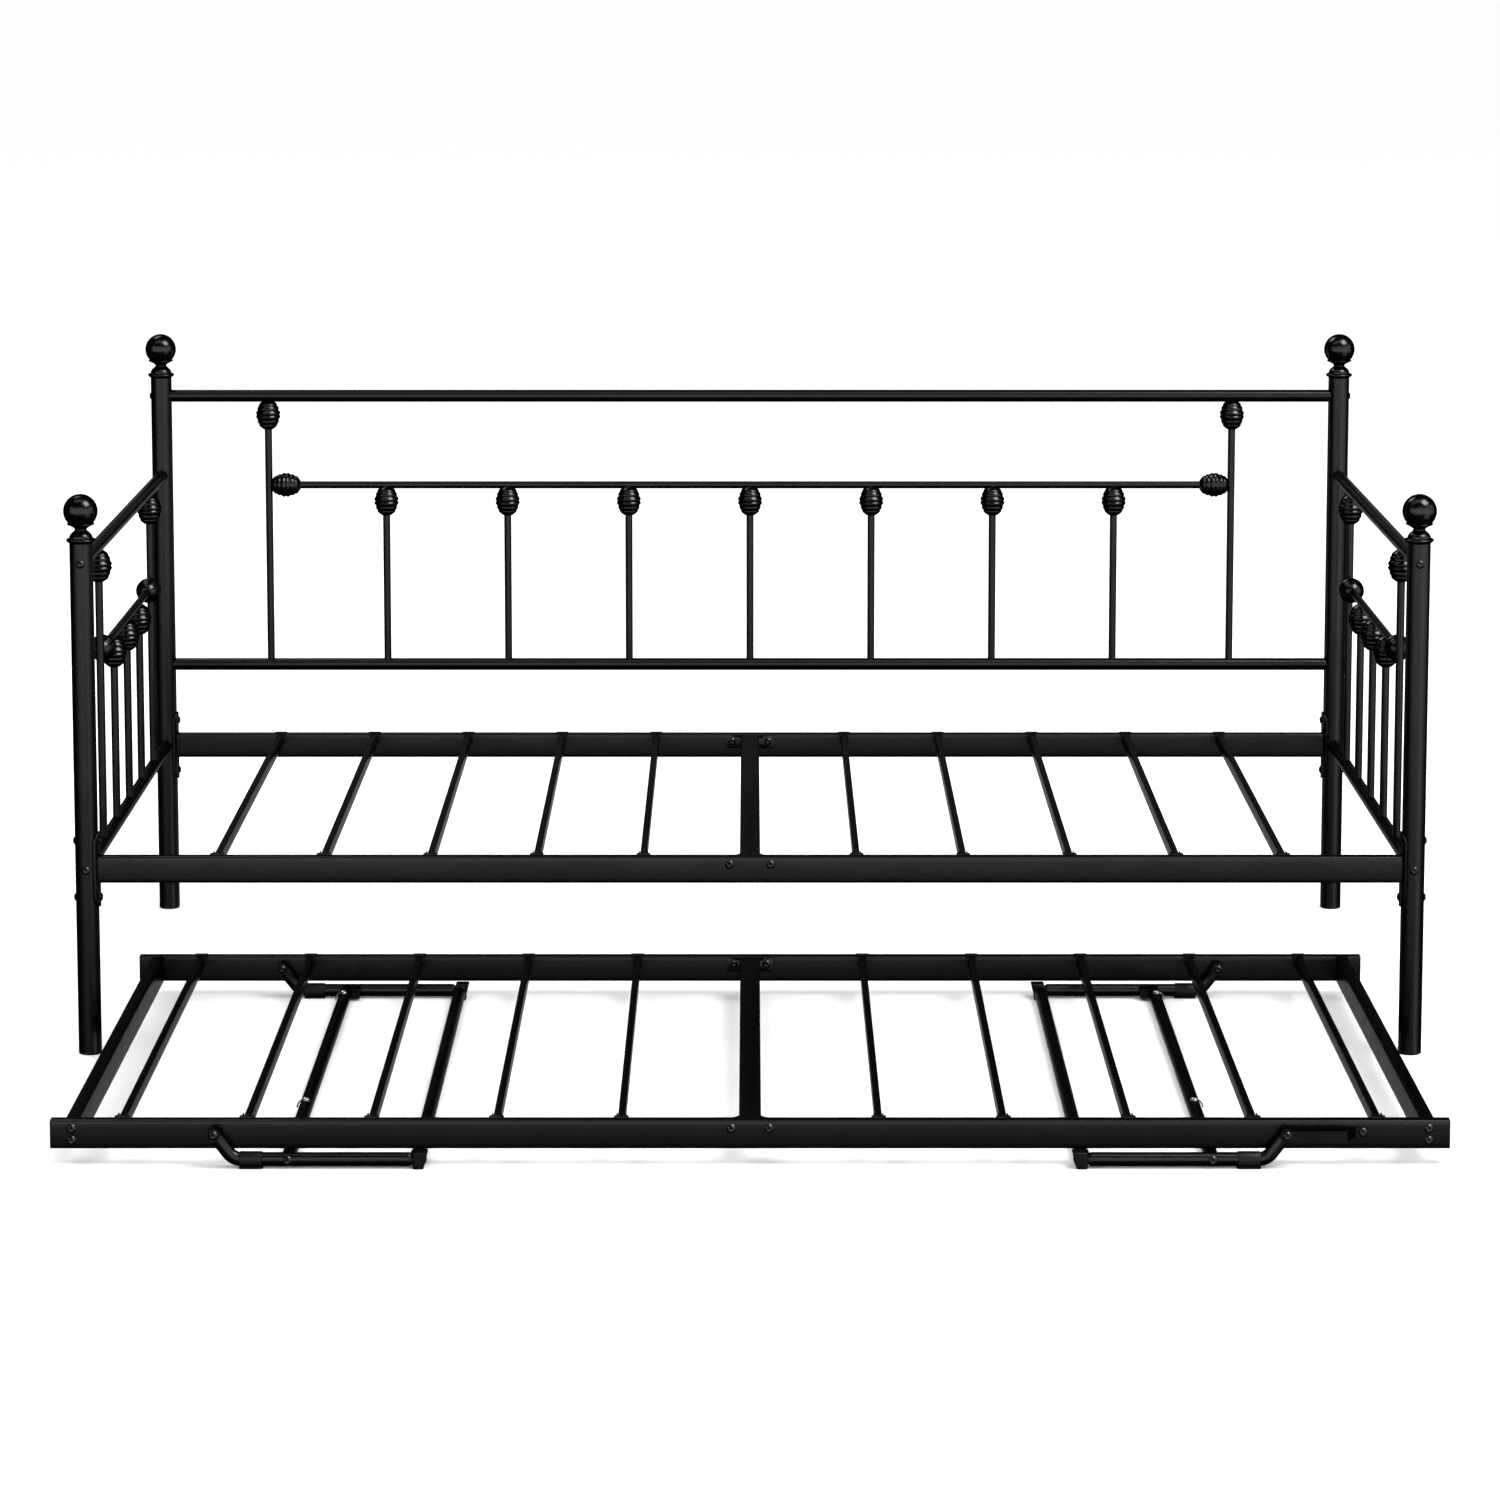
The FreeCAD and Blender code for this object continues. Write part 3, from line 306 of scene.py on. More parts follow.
def axes(at, x, y, z):
    """Puts a shape in millimetres at a point in metres, with its axes along three directions."""
    turn = Matrix((x, y, z)).transposed().to_4x4()
    return Matrix.Translation(at) @ turn @ Matrix.Scale(MM, 4)


def between(before, start, stop, after, t):
    """Where a smooth curve through four values is, a share t of the way from start to stop."""
    slope = stop - before
    bend = 2 * before - 5 * start + 4 * stop - after
    twist = 3 * start - before - 3 * stop + after
    return 0.5 * (2 * start + slope * t + bend * t * t + twist * t ** 3)


def curve_through(points, steps):
    """A smooth line through (radius, height) pairs."""
    found = []
    for number in range(len(points) - 1):
        before = points[max(number - 1, 0)]
        start, stop = points[number], points[number + 1]
        after = points[min(number + 2, len(points) - 1)]
        for step in range(steps):
            t = step / steps
            found.append(tuple(between(*values, t) for values in zip(before, start, stop, after)))
    return found + [tuple(points[-1])]


def rounded_box_outline(width, depth, radius, steps=4):
    """A rectangle with rounded corners about the origin, as (x, y) pairs."""
    found = []
    for number, (x, y) in enumerate(((1, 1), (-1, 1), (-1, -1), (1, -1))):
        for step in range(steps + 1):
            angle = math.pi / 2 * (number + step / steps)
            across = x * (width / 2 - radius) + radius * math.cos(angle)
            along = y * (depth / 2 - radius) + radius * math.sin(angle)
            found.append((across, along))
    return found


def slab(shape, place, width, depth, height, radius, edge, steps=4):
    """A plate about Z from 0 up to its height, with rounded corners and eased edges."""
    knee = edge * 0.3
    levels = ((edge, 0), (knee, knee), (0, edge), (0, height - edge), (knee, height - knee), (edge, height))
    rings = []
    for inset, level in levels:
        corner = max(radius - inset, 0.05)
        outline = rounded_box_outline(width - 2 * inset, depth - 2 * inset, corner, steps)
        rings.append([(x, y, level) for x, y in outline])
    shape.loft(rings, place)


def face_outward(mesh):
    """Turns the faces of each closed shape outward, also where its place mirrors it."""
    work = bmesh.new()
    work.from_mesh(mesh)
    bmesh.ops.recalc_face_normals(work, faces=work.faces)
    work.to_mesh(mesh)
    work.free()


def piece(name, shape, body, slot, replaced, sharp=38):
    """Makes a shape into the piece that stands for a CAD node. sharp is the angle of a hard edge."""
    mesh = bpy.data.meshes.new(name)
    mesh.from_pydata([tuple(point) for point in shape.points], [], shape.faces)
    face_outward(mesh)
    mesh.materials.append(MATERIALS[slot])
    mesh.shade_smooth()
    mesh.set_sharp_from_angle(angle=math.radians(sharp))
    mesh.validate()
    obj = link(bpy.data.objects.new(name, mesh))
    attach(obj, body)
    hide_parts(replaced)


def solids(node):
    """The lowest and highest corners of each separate solid of a node, and its vertices."""
    mesh = frame["nodes"][node].data
    spots = numpy.empty(len(mesh.vertices) * 3)
    mesh.vertices.foreach_get("co", spots)
    spots = spots.reshape(-1, 3)
    ends = numpy.empty(len(mesh.edges) * 2, dtype=int)
    mesh.edges.foreach_get("vertices", ends)
    _, welded = numpy.unique(numpy.round(spots, 6), axis=0, return_inverse=True)
    welded = welded.reshape(-1)
    parent = list(range(welded.max() + 1))

    def root(item):
        while parent[item] != item:
            parent[item] = parent[parent[item]]
            item = parent[item]
        return item

    for one, other in ends.reshape(-1, 2):
        parent[root(welded[one])] = root(welded[other])
    groups = {}
    for number, item in enumerate(welded):
        groups.setdefault(root(item), []).append(number)
    found = []
    for numbers in groups.values():
        own = spots[numbers]
        found.append((Vector(own.min(axis=0)), Vector(own.max(axis=0)), own))
    return sorted(found, key=lambda row: tuple(round(value, 4) for value in row[0]))


# ---- Bolts, cap nuts and washers --------------------------------------------------------------------

SEGMENTS = 36
HEAD_RADIUS = 6.5
HEAD_HEIGHT = 3.6
HEAD_RINGS = (6.35, 6.1, 5.7, 5.2, 4.6, 4.0, 3.5, 3.25)
HEAD_TURN = 15
SOCKET_MOUTH = 3.05
SOCKET_RADIUS = 2.7
SOCKET_FLOOR = 1.4
BOLT_RADIUS = 3.0
PIVOT_RADIUS = 4.0
THREAD_LENGTH = 14.0
THREAD_PITCH = 1.0
WASHER_BORE = 4.1
WASHER_RADIUS = 8.0

# Lengths in metres that tell a bolt from a cap nut, and a cap nut from a washer.
SHORTEST_BOLT = 0.0185
THICKEST_WASHER = 0.003


def hexagon(radius, height):
    """A hexagon with as many points as a head's rings."""
    found = []
    for number in range(SEGMENTS):
        angle = 2 * math.pi * number / SEGMENTS
        reach = radius * math.cos(math.pi / 6) / math.cos(angle % (math.pi / 3) - math.pi / 6)
        found.append((reach * math.cos(angle), reach * math.sin(angle), height))
    return found


def dome_height(radius):
    """How high a head's dome is above its seat, at a distance from its middle."""
    ball = (HEAD_RADIUS ** 2 + HEAD_HEIGHT ** 2) / (2 * HEAD_HEIGHT)
    return math.sqrt(ball ** 2 - radius ** 2) - ball + HEAD_HEIGHT


def add_head(shape, place):
    """A button head with a hexagon socket."""
    rings = [circle(HEAD_RADIUS - 0.25, 0, SEGMENTS), circle(HEAD_RADIUS, 0.15, SEGMENTS)]
    rings += [circle(radius, dome_height(radius) + 0.05, SEGMENTS) for radius in HEAD_RINGS]
    mouth = dome_height(SOCKET_MOUTH)
    rings.append(circle(SOCKET_MOUTH, mouth - 0.12, SEGMENTS))
    rings.append(hexagon(SOCKET_RADIUS + 0.1, mouth - 0.35))
    rings.append(hexagon(SOCKET_RADIUS, mouth - 0.6))
    rings.append(hexagon(SOCKET_RADIUS, SOCKET_FLOOR))
    rings.append(hexagon(SOCKET_RADIUS * 0.4, SOCKET_FLOOR - 0.3))
    shape.loft(rings, place)


def add_shank(shape, place, length, radius):
    """A shank below the head, threaded towards its tip."""
    plain, root, crest, tip = (radius * share for share in (0.98, 0.88, 0.99, 0.80))
    thread_start = max(length - THREAD_LENGTH, 2)
    profile = [(plain, 0.4), (plain, -1.0), (plain, -thread_start)]
    for number in range(int((length - 0.8 - thread_start) / THREAD_PITCH)):
        level = thread_start + number * THREAD_PITCH
        profile += [(root, -level - 0.30), (crest, -level - 0.62), (crest, -level - 0.78)]
    profile.append((tip, 0.02 - length))
    shape.turn(profile, place, SEGMENTS)


def unit(axis, sign=1):
    """The direction of an axis, by its number, or the opposite direction."""
    way = Vector((0, 0, 0))
    way[axis] = sign
    return way


def add_bolt(shape, low, high, own, axis, radius):
    """A bolt along an axis, with its head at the end where its solid is widest."""
    centre = (low + high) / 2
    across = [other for other in range(3) if other != axis]
    wide = max((high - low)[other] for other in across)
    reach = numpy.hypot(*(own[:, other] - centre[other] for other in across))
    head_at = own[reach > 0.4 * wide][:, axis].mean()
    facing = unit(axis, math.copysign(1, head_at - centre[axis]))
    seat = centre.copy()
    seat[axis] = high[axis] if facing[axis] > 0 else low[axis]
    seat -= facing * HEAD_HEIGHT * MM
    add_head(shape, stand(seat, facing, HEAD_TURN))
    add_shank(shape, stand(seat, facing), (high - low)[axis] / MM - HEAD_HEIGHT, radius)


def add_nut(shape, low, high, axis):
    """A cap nut, shaped as a bolt head, that faces away from the middle of the bed."""
    seat = (low + high) / 2
    facing = unit(axis, math.copysign(1, seat[axis]))
    seat[axis] = low[axis] if facing[axis] > 0 else high[axis]
    add_head(shape, stand(seat, facing))


def add_washer(shape, low, high, axis):
    """A spacer ring that fills the length of its solid."""
    thick = (high - low)[axis] / MM
    profile = [(WASHER_BORE, 0), (WASHER_RADIUS - 0.4, 0), (WASHER_RADIUS, 0.3)]
    profile += [(WASHER_RADIUS, thick - 0.3), (WASHER_RADIUS - 0.4, thick), (WASHER_BORE, thick)]
    start = (low + high) / 2
    start[axis] = low[axis]
    shape.turn(profile, stand(start, unit(axis)), SEGMENTS, loop=True)


def make_bolts(name, node, radius):
    """Stands for a node of fasteners: each solid gives one's kind, place and length."""
    shape = Shape()
    for low, high, own in solids(node):
        sides = list(high - low)
        longest, shortest = sides.index(max(sides)), sides.index(min(sides))
        if sides[longest] >= SHORTEST_BOLT:
            add_bolt(shape, low, high, own, longest, radius)
        elif sides[shortest] >= THICKEST_WASHER:
            add_nut(shape, low, high, shortest)
        else:
            add_washer(shape, low, high, shortest)
    piece(name, shape, BODY_OF[node], "black_fastener", node)


for node, name, radius in (
    ("frame_bolts", "side_and_back_bolts", BOLT_RADIUS),
    ("bracket_bolts", "rail_bracket_bolts", BOLT_RADIUS),
    ("bracket_cap_nuts", "rail_bracket_nuts", BOLT_RADIUS),
    ("deck_beam_bolts", "deck_beam_screws", BOLT_RADIUS),
    ("trundle_frame_bolts", "trundle_corner_bolts", BOLT_RADIUS),
    ("leg_pivot_bolts", "leg_pivots", PIVOT_RADIUS),
    ("left_leg_brace_bolts", "left_brace_bolt", BOLT_RADIUS),
    ("right_leg_brace_bolts", "right_brace_bolt", BOLT_RADIUS),
):
    make_bolts(name, node, radius)

# ---- Finials ----------------------------------------------------------------------------------------

# Outlines from the bottom up, as the radius and the height above the post tube.
FINIAL_BASE = [
    (15.6, -6), (15.6, -0.3), (16.6, 0.0), (17.2, 0.6), (18.6, 1.6), (20.4, 3.0),
    (21.3, 4.2), (21.5, 5.2), (21.1, 6.2), (19.8, 7.1), (17.8, 7.7), (17.0, 8.1),
]
FINIAL_BELL = [
    (16.9, 8.6), (16.8, 9.8), (16.2, 11.6), (14.9, 13.6), (13.0, 15.6), (10.9, 17.4),
    (9.3, 18.9), (8.7, 20.2), (9.1, 21.5), (10.8, 23.0), (13.6, 24.7), (16.8, 26.3),
]
FINIAL_RING = [(18.9, 27.2), (19.9, 28.0), (20.1, 28.6), (19.7, 29.2), (18.6, 29.5), (17.9, 29.6)]
BALL_RADIUS = 25.0
BALL_RISE = 47.0
BALL_FOOT = 29.8
BALL_STEPS = 26


def finial_profile():
    profile = FINIAL_BASE + curve_through(FINIAL_BELL, 3) + FINIAL_RING
    start = math.asin((BALL_FOOT - BALL_RISE) / BALL_RADIUS)
    for number in range(BALL_STEPS + 1):
        angle = start + (math.pi / 2 - start) * number / (BALL_STEPS + 0.5)
        profile.append((BALL_RADIUS * math.cos(angle), BALL_RISE + BALL_RADIUS * math.sin(angle)))
    return profile


for row in ("front", "rear"):
    shape = Shape()
    for side in ("left", "right"):
        post = "%s_%s_post" % (row, side)
        centre = middle(post)
        shape.turn(finial_profile(), stand((centre.x, centre.y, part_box(post)[1][2])), 56)
    piece(row + "_ball_finials", shape, "daybed", "gloss_casting", row + "_finials", sharp=50)

# ---- Foot caps --------------------------------------------------------------------------------------

# From the middle of the underside, out and up to the top of the plug in the tube.
FOOT_RIM = [
    (9.0, 0.6), (10.0, 0.0), (14.6, 0.0), (15.6, 0.25), (16.4, 0.9), (16.9, 1.8),
    (17.0, 2.6), (17.0, 3.5), (16.7, 3.95), (15.4, 4.0), (15.4, 9.0),
]

shape = Shape()
for row in ("front", "rear"):
    for side in ("left", "right"):
        centre = middle("%s_%s_post" % (row, side))
        shape.turn(FOOT_RIM, stand((centre.x, centre.y, 0)))
piece("post_feet", shape, "daybed", "black_plastic", "post_foot_caps")

# ---- Ribbed castings --------------------------------------------------------------------------------

ROD_RADIUS = 6.0

# Half of a casting from its middle: a groove, a tall ring, a broad shoulder, an end ring and the mouth.
CASTING_HALF = [
    (18.6, 0.0), (18.8, 0.5), (19.35, 1.4), (19.85, 2.4), (20.0, 3.2), (19.8, 4.1), (19.15, 5.3),
    (18.2, 6.7), (17.4, 7.7), (17.1, 8.2), (17.3, 8.8), (17.6, 9.8), (17.55, 11.0), (17.1, 12.4),
    (16.2, 13.9),
    (15.2, 15.1), (14.8, 15.7), (15.0, 16.4), (14.8, 17.4), (14.0, 18.7), (12.5, 20.2), (10.7, 21.6),
    (8.9, 22.9), (7.6, 23.7), (6.8, 24.0),
]


def make_castings(name, node):
    """Bored castings, each along the longest side of its solid."""
    half = curve_through(CASTING_HALF, 2)
    outline = [(radius, -height) for radius, height in half[:0:-1]] + half
    end = outline[-1][1]
    profile = [(ROD_RADIUS, -end)] + outline + [(ROD_RADIUS, end)]
    shape = Shape()
    for low, high, _ in solids(node):
        sides = list(high - low)
        shape.turn(profile, stand((low + high) / 2, unit(sides.index(max(sides)))), loop=True)
    piece(name, shape, BODY_OF[node], "gloss_casting", node, sharp=60)


for place_name in ("backrest", "left", "right"):
    make_castings(place_name + "_ring_castings", place_name + "_castings")

# ---- Rail brackets ----------------------------------------------------------------------------------

SADDLE_OUT = 20.0
SADDLE_IN = 17.05
SADDLE_TALL = 112.0
SADDLE_WIDE = 32.0
SADDLE_INSETS = (3, 6, 9, 12, 15.5)


def saddle_ring(inset, radius):
    """The bracket's outline, drawn in by an inset and wrapped round the post at a radius."""
    corner = SADDLE_WIDE / 2 - inset - 0.01
    outline = rounded_box_outline(SADDLE_WIDE - 2 * inset, SADDLE_TALL - 2 * inset, corner, 10)
    found = []
    for across, up in outline:
        angle = math.asin(across / SADDLE_OUT)
        found.append((radius * math.cos(angle), radius * math.sin(angle), up))
    return found


def add_saddle(shape, at, way):
    """A plate with round ends, wrapped round the inner side of a post."""
    rings = [saddle_ring(inset, SADDLE_IN) for inset in SADDLE_INSETS[::-1]]
    rings += [saddle_ring(0.3, SADDLE_IN), saddle_ring(0.0, SADDLE_IN + 0.4)]
    rings += [saddle_ring(0.0, SADDLE_OUT - 0.7), saddle_ring(0.25, SADDLE_OUT - 0.25)]
    rings.append(saddle_ring(0.7, SADDLE_OUT))
    rings += [saddle_ring(inset, SADDLE_OUT) for inset in SADDLE_INSETS]
    inward = RIGHT * way
    shape.loft(rings, axes(at, inward, UP.cross(inward), UP))


shape = Shape()
rail_z = middle("deck_front_rail").z
for row in ("front", "rear"):
    for side, way in (("left", 1), ("right", -1)):
        centre = middle("%s_%s_post" % (row, side))
        add_saddle(shape, (centre.x, centre.y, rail_z), way)
piece("rail_saddles", shape, "daybed", "black_tube", "rail_brackets")

# ---- Box rails --------------------------------------------------------------------------------------

RAIL_WIDTH = 20.0
RAIL_HEIGHT = 40.0
RAIL_ROUND = 3.2
RAIL_WALL = 1.4
CROWN = 0.45
FACE_STEPS = 8


def crowned_rail():
    """A rail's outline, whose faces bow out a little, as a roll-formed tube's do, as (x, y) pairs."""
    corners = rounded_box_outline(RAIL_WIDTH, RAIL_HEIGHT, RAIL_ROUND, 5)
    found = []
    for point, after in zip(corners, corners[1:] + corners[:1]):
        found.append(point)
        if math.dist(point, after) > 2 * RAIL_ROUND:
            for step in range(1, FACE_STEPS):
                found.append(tuple(a + (b - a) * step / FACE_STEPS for a, b in zip(point, after)))
    half_width, half_height = RAIL_WIDTH / 2, RAIL_HEIGHT / 2
    bowed = []
    for x, y in found:
        pull_x = 1 - CROWN / half_width * (y / half_height) ** 2
        pull_y = 1 - CROWN / half_height * (x / half_width) ** 2
        bowed.append((x * pull_x, y * pull_y))
    return bowed


def square_end(across):
    """Nothing is cut away from the end of a rail that is not against a post."""
    return 0.0


def saddle_hollow(across):
    """How far behind the rail's longest point its end lies against the bracket."""
    edge = RAIL_WIDTH / 2
    longest = math.sqrt(SADDLE_OUT ** 2 - edge ** 2)
    return math.sqrt(SADDLE_OUT ** 2 - min(abs(across), edge) ** 2) - longest


def make_rail(name, node, along, hollow):
    """A box rail along a direction, open at its ends. hollow gives how far an end is cut back."""
    low, high = (Vector(corner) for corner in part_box(node))
    half = (high - low).dot(along) / 2 / MM
    outside = crowned_rail()
    shrink_x = 1 - 2 * RAIL_WALL / RAIL_WIDTH
    shrink_y = 1 - 2 * RAIL_WALL / RAIL_HEIGHT
    inside = [(x * shrink_x, y * shrink_y) for x, y in outside]
    rings = []
    for outline, end in ((inside, -1), (outside, -1), (outside, 1), (inside, 1)):
        rings.append([(x, y, end * (half - hollow(x))) for x, y in outline])
    shape = Shape()
    shape.loft(rings, axes((low + high) / 2, UP.cross(along), UP, along), loop=True)
    piece(name, shape, BODY_OF[node], "black_tube", node)


for name, node, along, hollow in (
    ("deck_front_side_rail", "deck_front_rail", RIGHT, saddle_hollow),
    ("deck_rear_side_rail", "deck_rear_rail", RIGHT, saddle_hollow),
    ("trundle_front_side_rail", "trundle_front_rail", RIGHT, square_end),
    ("trundle_rear_side_rail", "trundle_rear_rail", RIGHT, square_end),
    ("trundle_left_end", "trundle_left_end_rail", BACK, square_end),
    ("trundle_right_end", "trundle_right_end_rail", BACK, square_end),
):
    make_rail(name, node, along, hollow)

# ---- Slats and clips --------------------------------------------------------------------------------

SLAT_ROUND = 1.6
SLAT_WALL = 1.0
CLIP_WIDTH = 20.0
CLIP_DEPTH = 12.0
CLIP_THICK = 2.0
CHEEK_DROP = 13.0
CHEEK_OFFSET = 6.0
CHEEK_THICK = 1.98


def add_box_tube(shape, start, stop, width, height, radius, wall):
    """A rectangular tube along Y between two points in metres, open at its ends."""
    outside = rounded_box_outline(width, height, radius, 3)
    inside = rounded_box_outline(width - 2 * wall, height - 2 * wall, max(radius - wall, 0.2), 3)
    length = (Vector(stop) - Vector(start)).length / MM
    rings = []
    for outline, level in ((inside, 0), (outside, 0), (outside, -length), (inside, -length)):
        rings.append([(x, y, level) for x, y in outline])
    shape.loft(rings, axes(start, RIGHT, UP, -BACK), loop=True)


def add_clip(shape, at, way):
    """A folded clip at the inner top edge of a rail: a tab on the rail, and cheeks by the slat."""
    out = BACK * way
    across = out.cross(UP)
    to_rail = out * CLIP_DEPTH / 2 * MM
    slab(shape, axes(at + to_rail, across, out, UP), CLIP_WIDTH, CLIP_DEPTH, CLIP_THICK, 2.2, 0.5)
    for side in (-1, 1):
        foot = at - to_rail + across * side * CHEEK_OFFSET * MM - UP * CHEEK_DROP * MM
        tall = CHEEK_DROP + CLIP_THICK
        slab(shape, axes(foot, across, out, UP), CHEEK_THICK, CLIP_DEPTH, tall, 0.6, 0.4, 2)


def make_slats(prefix):
    """The slats of the deck or the trundle, with a clip at each end."""
    slats, clips = Shape(), Shape()
    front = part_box(prefix + "_front_rail")[1][1]
    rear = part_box(prefix + "_rear_rail")[0][1]
    for low, high, _ in solids(prefix + "_slats"):
        width, height = (high.x - low.x) / MM, (high.z - low.z) / MM
        x, z = (low.x + high.x) / 2, (low.z + high.z) / 2
        add_box_tube(slats, (x, low.y, z), (x, high.y, z), width, height, SLAT_ROUND, SLAT_WALL)
        add_clip(clips, Vector((x, front, high.z)), -1)
        add_clip(clips, Vector((x, rear, high.z)), 1)
    body = BODY_OF[prefix + "_slats"]
    piece(prefix + "_cross_slats", slats, body, "black_tube", prefix + "_slats")
    piece(prefix + "_clips", clips, body, "black_plastic", prefix + "_slat_clips")


make_slats("deck")
make_slats("trundle")

# ---- Centre beams -----------------------------------------------------------------------------------

BEAM_WIDTH = 30.0
BEAM_HEIGHT = 20.0
BEAM_ROUND = 2.6
BEAM_WALL = 1.5
PLATE_HEIGHT = 22.0
PLATE_THICK = 3.0
GUSSET = 14.0
GUSSET_STEPS = 8


def add_gusset(shape, corner, x_way, y_way):
    """A curved web between the beam's side and its end plate."""
    curve = GUSSET * 0.999
    outline = [(0, 0), (GUSSET, 0)]
    for step in range(1, GUSSET_STEPS):
        angle = math.pi / 2 * step / GUSSET_STEPS
        outline.append((GUSSET - curve * math.sin(angle), GUSSET - curve * math.cos(angle)))
    outline.append((0, GUSSET))
    place = axes(corner, RIGHT * x_way, BACK * y_way, UP)
    shape.loft([[(x, y, level) for x, y in outline] for level in (-PLATE_THICK, 0)], place)


def make_beam(prefix):
    """A box beam across the middle, with a plate and two gussets at each end."""
    node = prefix + "_centre_beam"
    low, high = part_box(node)
    shape = Shape()
    level = high[2] - BEAM_HEIGHT / 2 * MM
    start = (0, low[1] + PLATE_THICK * MM, level)
    stop = (0, high[1] - PLATE_THICK * MM, level)
    add_box_tube(shape, start, stop, BEAM_WIDTH, BEAM_HEIGHT, BEAM_ROUND, BEAM_WALL)
    for y, way in ((low[1], 1), (high[1], -1)):
        plate = stand((0, y, high[2] - PLATE_HEIGHT / 2 * MM), BACK * way)
        slab(shape, plate, (high[0] - low[0]) / MM, PLATE_HEIGHT, PLATE_THICK, 3.0, 0.6)
        for side in (-1, 1):
            corner = (side * BEAM_WIDTH / 2 * MM, y + way * PLATE_THICK * MM, high[2])
            add_gusset(shape, corner, side, way)
    piece(prefix + "_middle_beam", shape, BODY_OF[node], "black_tube", node)


make_beam("deck")
make_beam("trundle")

# ---- End caps of the trundle's rails ----------------------------------------------------------------

CAP_THICK = 2.0
CAP_INSET = 0.3
PLUG_LENGTH = 12.0
PLUG_INSET = 1.6

shape = Shape()
for node in ("trundle_front_rail", "trundle_rear_rail"):
    low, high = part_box(node)
    centre = middle(node)
    for way, x in ((-1, low[0]), (1, high[0])):
        end = (x, centre.y, centre.z)
        cap = axes(end, BACK * way, UP, RIGHT * way)
        slab(shape, cap, RAIL_WIDTH - 2 * CAP_INSET, RAIL_HEIGHT - 2 * CAP_INSET, CAP_THICK, 3.0, 0.7, 5)
        plug = axes(end, BACK * -way, UP, RIGHT * -way)
        plug_width, plug_height = RAIL_WIDTH - 2 * PLUG_INSET, RAIL_HEIGHT - 2 * PLUG_INSET
        slab(shape, plug, plug_width, plug_height, PLUG_LENGTH, 2.0, 1.0, 3)
piece("trundle_rail_plugs", shape, "trundle_frame", "black_plastic", "trundle_end_caps")

# ---- Legs: feet, sleeves and lock pins --------------------------------------------------------------

TUBE_RADIUS = 9.4
SLEEVE_RADIUS = 10.85
SLEEVE_SOLE = (19.0, 2.2)
FOOT_HALF_WIDTH = 11.2
FOOT_HALF_HEIGHT = 11.5
FOOT_NEAR = 6.3
FOOT_FAR = 14.2
FOOT_TAPER = 5.8
PIN_OUTLINE = [
    (1.6, -9.4), (2.6, -8.6), (2.75, -7.5), (2.75, 8.8), (4.6, 9.1), (5.4, 9.8),
    (5.5, 10.8), (5.2, 12.0), (4.3, 13.2), (2.8, 14.0), (1.2, 14.35),
]
BAIL_RADIUS = 12.0
BAIL_SWEEP = 100
BAIL_STEPS = 20
WIRE_RADIUS = 1.1


def flat_bottomed(round_power, flat_power, segments=40):
    """A section of half size 1, rounder above and squarer below, as (across, up) pairs."""
    found = []
    for number in range(segments):
        angle = 2 * math.pi * number / segments
        power = round_power if math.sin(angle) > 0 else flat_power
        across = math.copysign(abs(math.cos(angle)) ** (2 / power), math.cos(angle))
        up = math.copysign(abs(math.sin(angle)) ** (2 / power), math.sin(angle))
        found.append((across, up))
    return found


def collar_section(grow):
    """The collar's section, wider or narrower by grow above its flat bottom."""
    half = FOOT_HALF_WIDTH - 0.3 + grow
    section = flat_bottomed(2.3, 5.0)
    return [(half * across, (half if up > 0 else FOOT_HALF_HEIGHT) * up) for across, up in section]


def add_foot(shape, at, out, back):
    """A tapered block on the end of a leg tube that comes along -out, with a collar on the foot bar."""
    place = axes(at, out, back, UP)
    tall = FOOT_HALF_HEIGHT
    levels = ((-tall, 0.9), (0.8 - tall, 0.2), (2.4 - tall, 0.0), (tall - 1.2, 0.0), (tall - 0.3, 0.8))
    rings = []
    for level, ease in levels:
        far = FOOT_FAR - FOOT_TAPER * (tall - level) / (2 * tall)
        outline = rounded_box_outline(far + FOOT_NEAR - 2 * ease, 2 * (FOOT_HALF_WIDTH - ease), 2.2)
        rings.append([((far - FOOT_NEAR) / 2 + x, y, level) for x, y in outline])
    shape.loft(rings, place)
    collar = [(FOOT_HALF_WIDTH - 2, -0.6), (17.2, -0.6), (18.0, 0.0), (21.4, 0.0), (22.0, -0.5)]
    shape.loft([[(-x, y, z) for x, z in collar_section(grow)] for y, grow in collar], place)
    flattened = ((-FOOT_HALF_WIDTH - 0.05, TUBE_RADIUS), (-9.6, 8.6), (-7.8, 7.0), (1 - FOOT_NEAR, 5.6))
    tube_end = circle(1, 0, 32)
    shape.loft([[(x, TUBE_RADIUS * a, rise * b) for a, b, _ in tube_end] for x, rise in flattened], place)


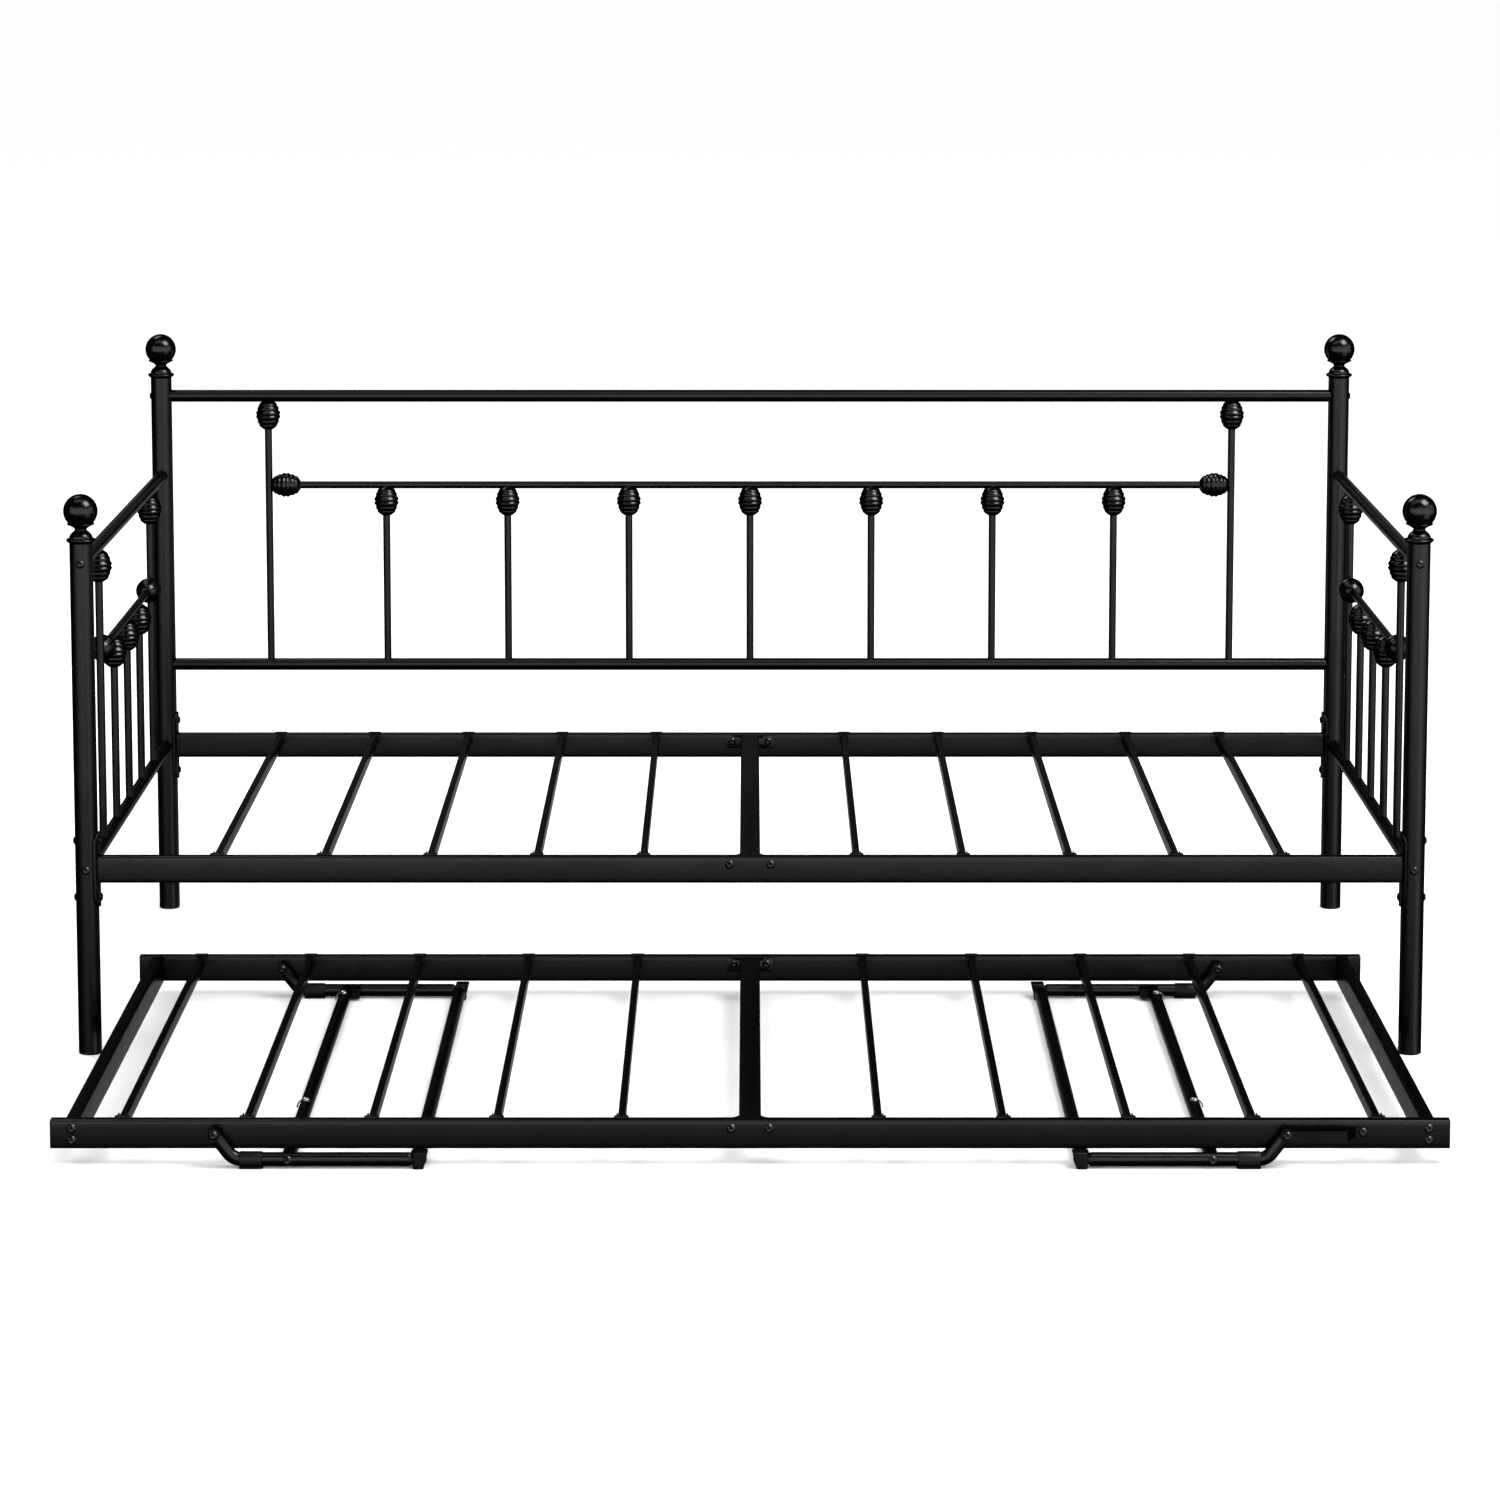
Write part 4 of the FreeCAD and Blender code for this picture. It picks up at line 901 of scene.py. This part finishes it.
def add_sleeve(shape, at, half):
    """A rounded sleeve round a leg tube, on a thin sole. half is half its length."""
    ends = [(half - 0.8, 0.9), (half - 1.2, 0.2), (half - 2.2, 0.0)]
    section = flat_bottomed(2.0, 3.2)
    rings = []
    for reach, inset in [(-reach, inset) for reach, inset in ends] + ends[::-1]:
        radius = SLEEVE_RADIUS - inset
        rings.append([(radius * across, radius * up, reach) for across, up in section])
    shape.loft(rings, axes(at, BACK, UP, RIGHT))
    slab(shape, axes((at.x, at.y, 0), RIGHT, BACK, UP), 2 * half, *SLEEVE_SOLE, 3.0, 0.6, 5)


def add_pin(shape, at, out):
    """A lock pin through a bar, with a round head and a wire bail that hangs towards the foot."""
    shape.turn(PIN_OUTLINE, stand(at), 28)
    rings = []
    for number in range(BAIL_STEPS + 1):
        angle = math.radians(BAIL_SWEEP) * number / BAIL_STEPS
        outward = Vector((math.cos(angle), 0, math.sin(angle)))
        wire = circle(WIRE_RADIUS, 0, 12)
        rings.append([tuple(outward * (BAIL_RADIUS + a) + BACK * b) for a, b, _ in wire])
    shape.loft(rings, axes(at, -out, BACK, UP))


for side, way in (("left", 1), ("right", -1)):
    body = side + "_leg"
    out = RIGHT * way
    bar = middle(body + "_foot_bar")
    low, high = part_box(body + "_pads")
    feet, sleeves, pins = Shape(), Shape(), Shape()
    for row, back in (("front", BACK), ("rear", -BACK)):
        y = middle("%s_%s_tube" % (body, row)).y
        add_foot(feet, (bar.x, y, bar.z), out, back)
        add_sleeve(sleeves, Vector(((low[0] + high[0]) / 2, y, bar.z)), (high[0] - low[0]) / 2 / MM)
    bolt = middle(body + "_brace_bolts")
    for low, high, _ in solids(body + "_lock_pins"):
        add_pin(pins, (bolt.x, (low.y + high.y) / 2, bar.z), out)
    piece(body + "_elbows", feet, body, "black_plastic", body + "_elbow_feet")
    piece(body + "_sleeves", sleeves, body, "black_plastic", body + "_pads")
    piece(body + "_pins", pins, body, "bright_pin", body + "_lock_pins")

# ---- Sizes ------------------------------------------------------------------------------------------

low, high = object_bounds()
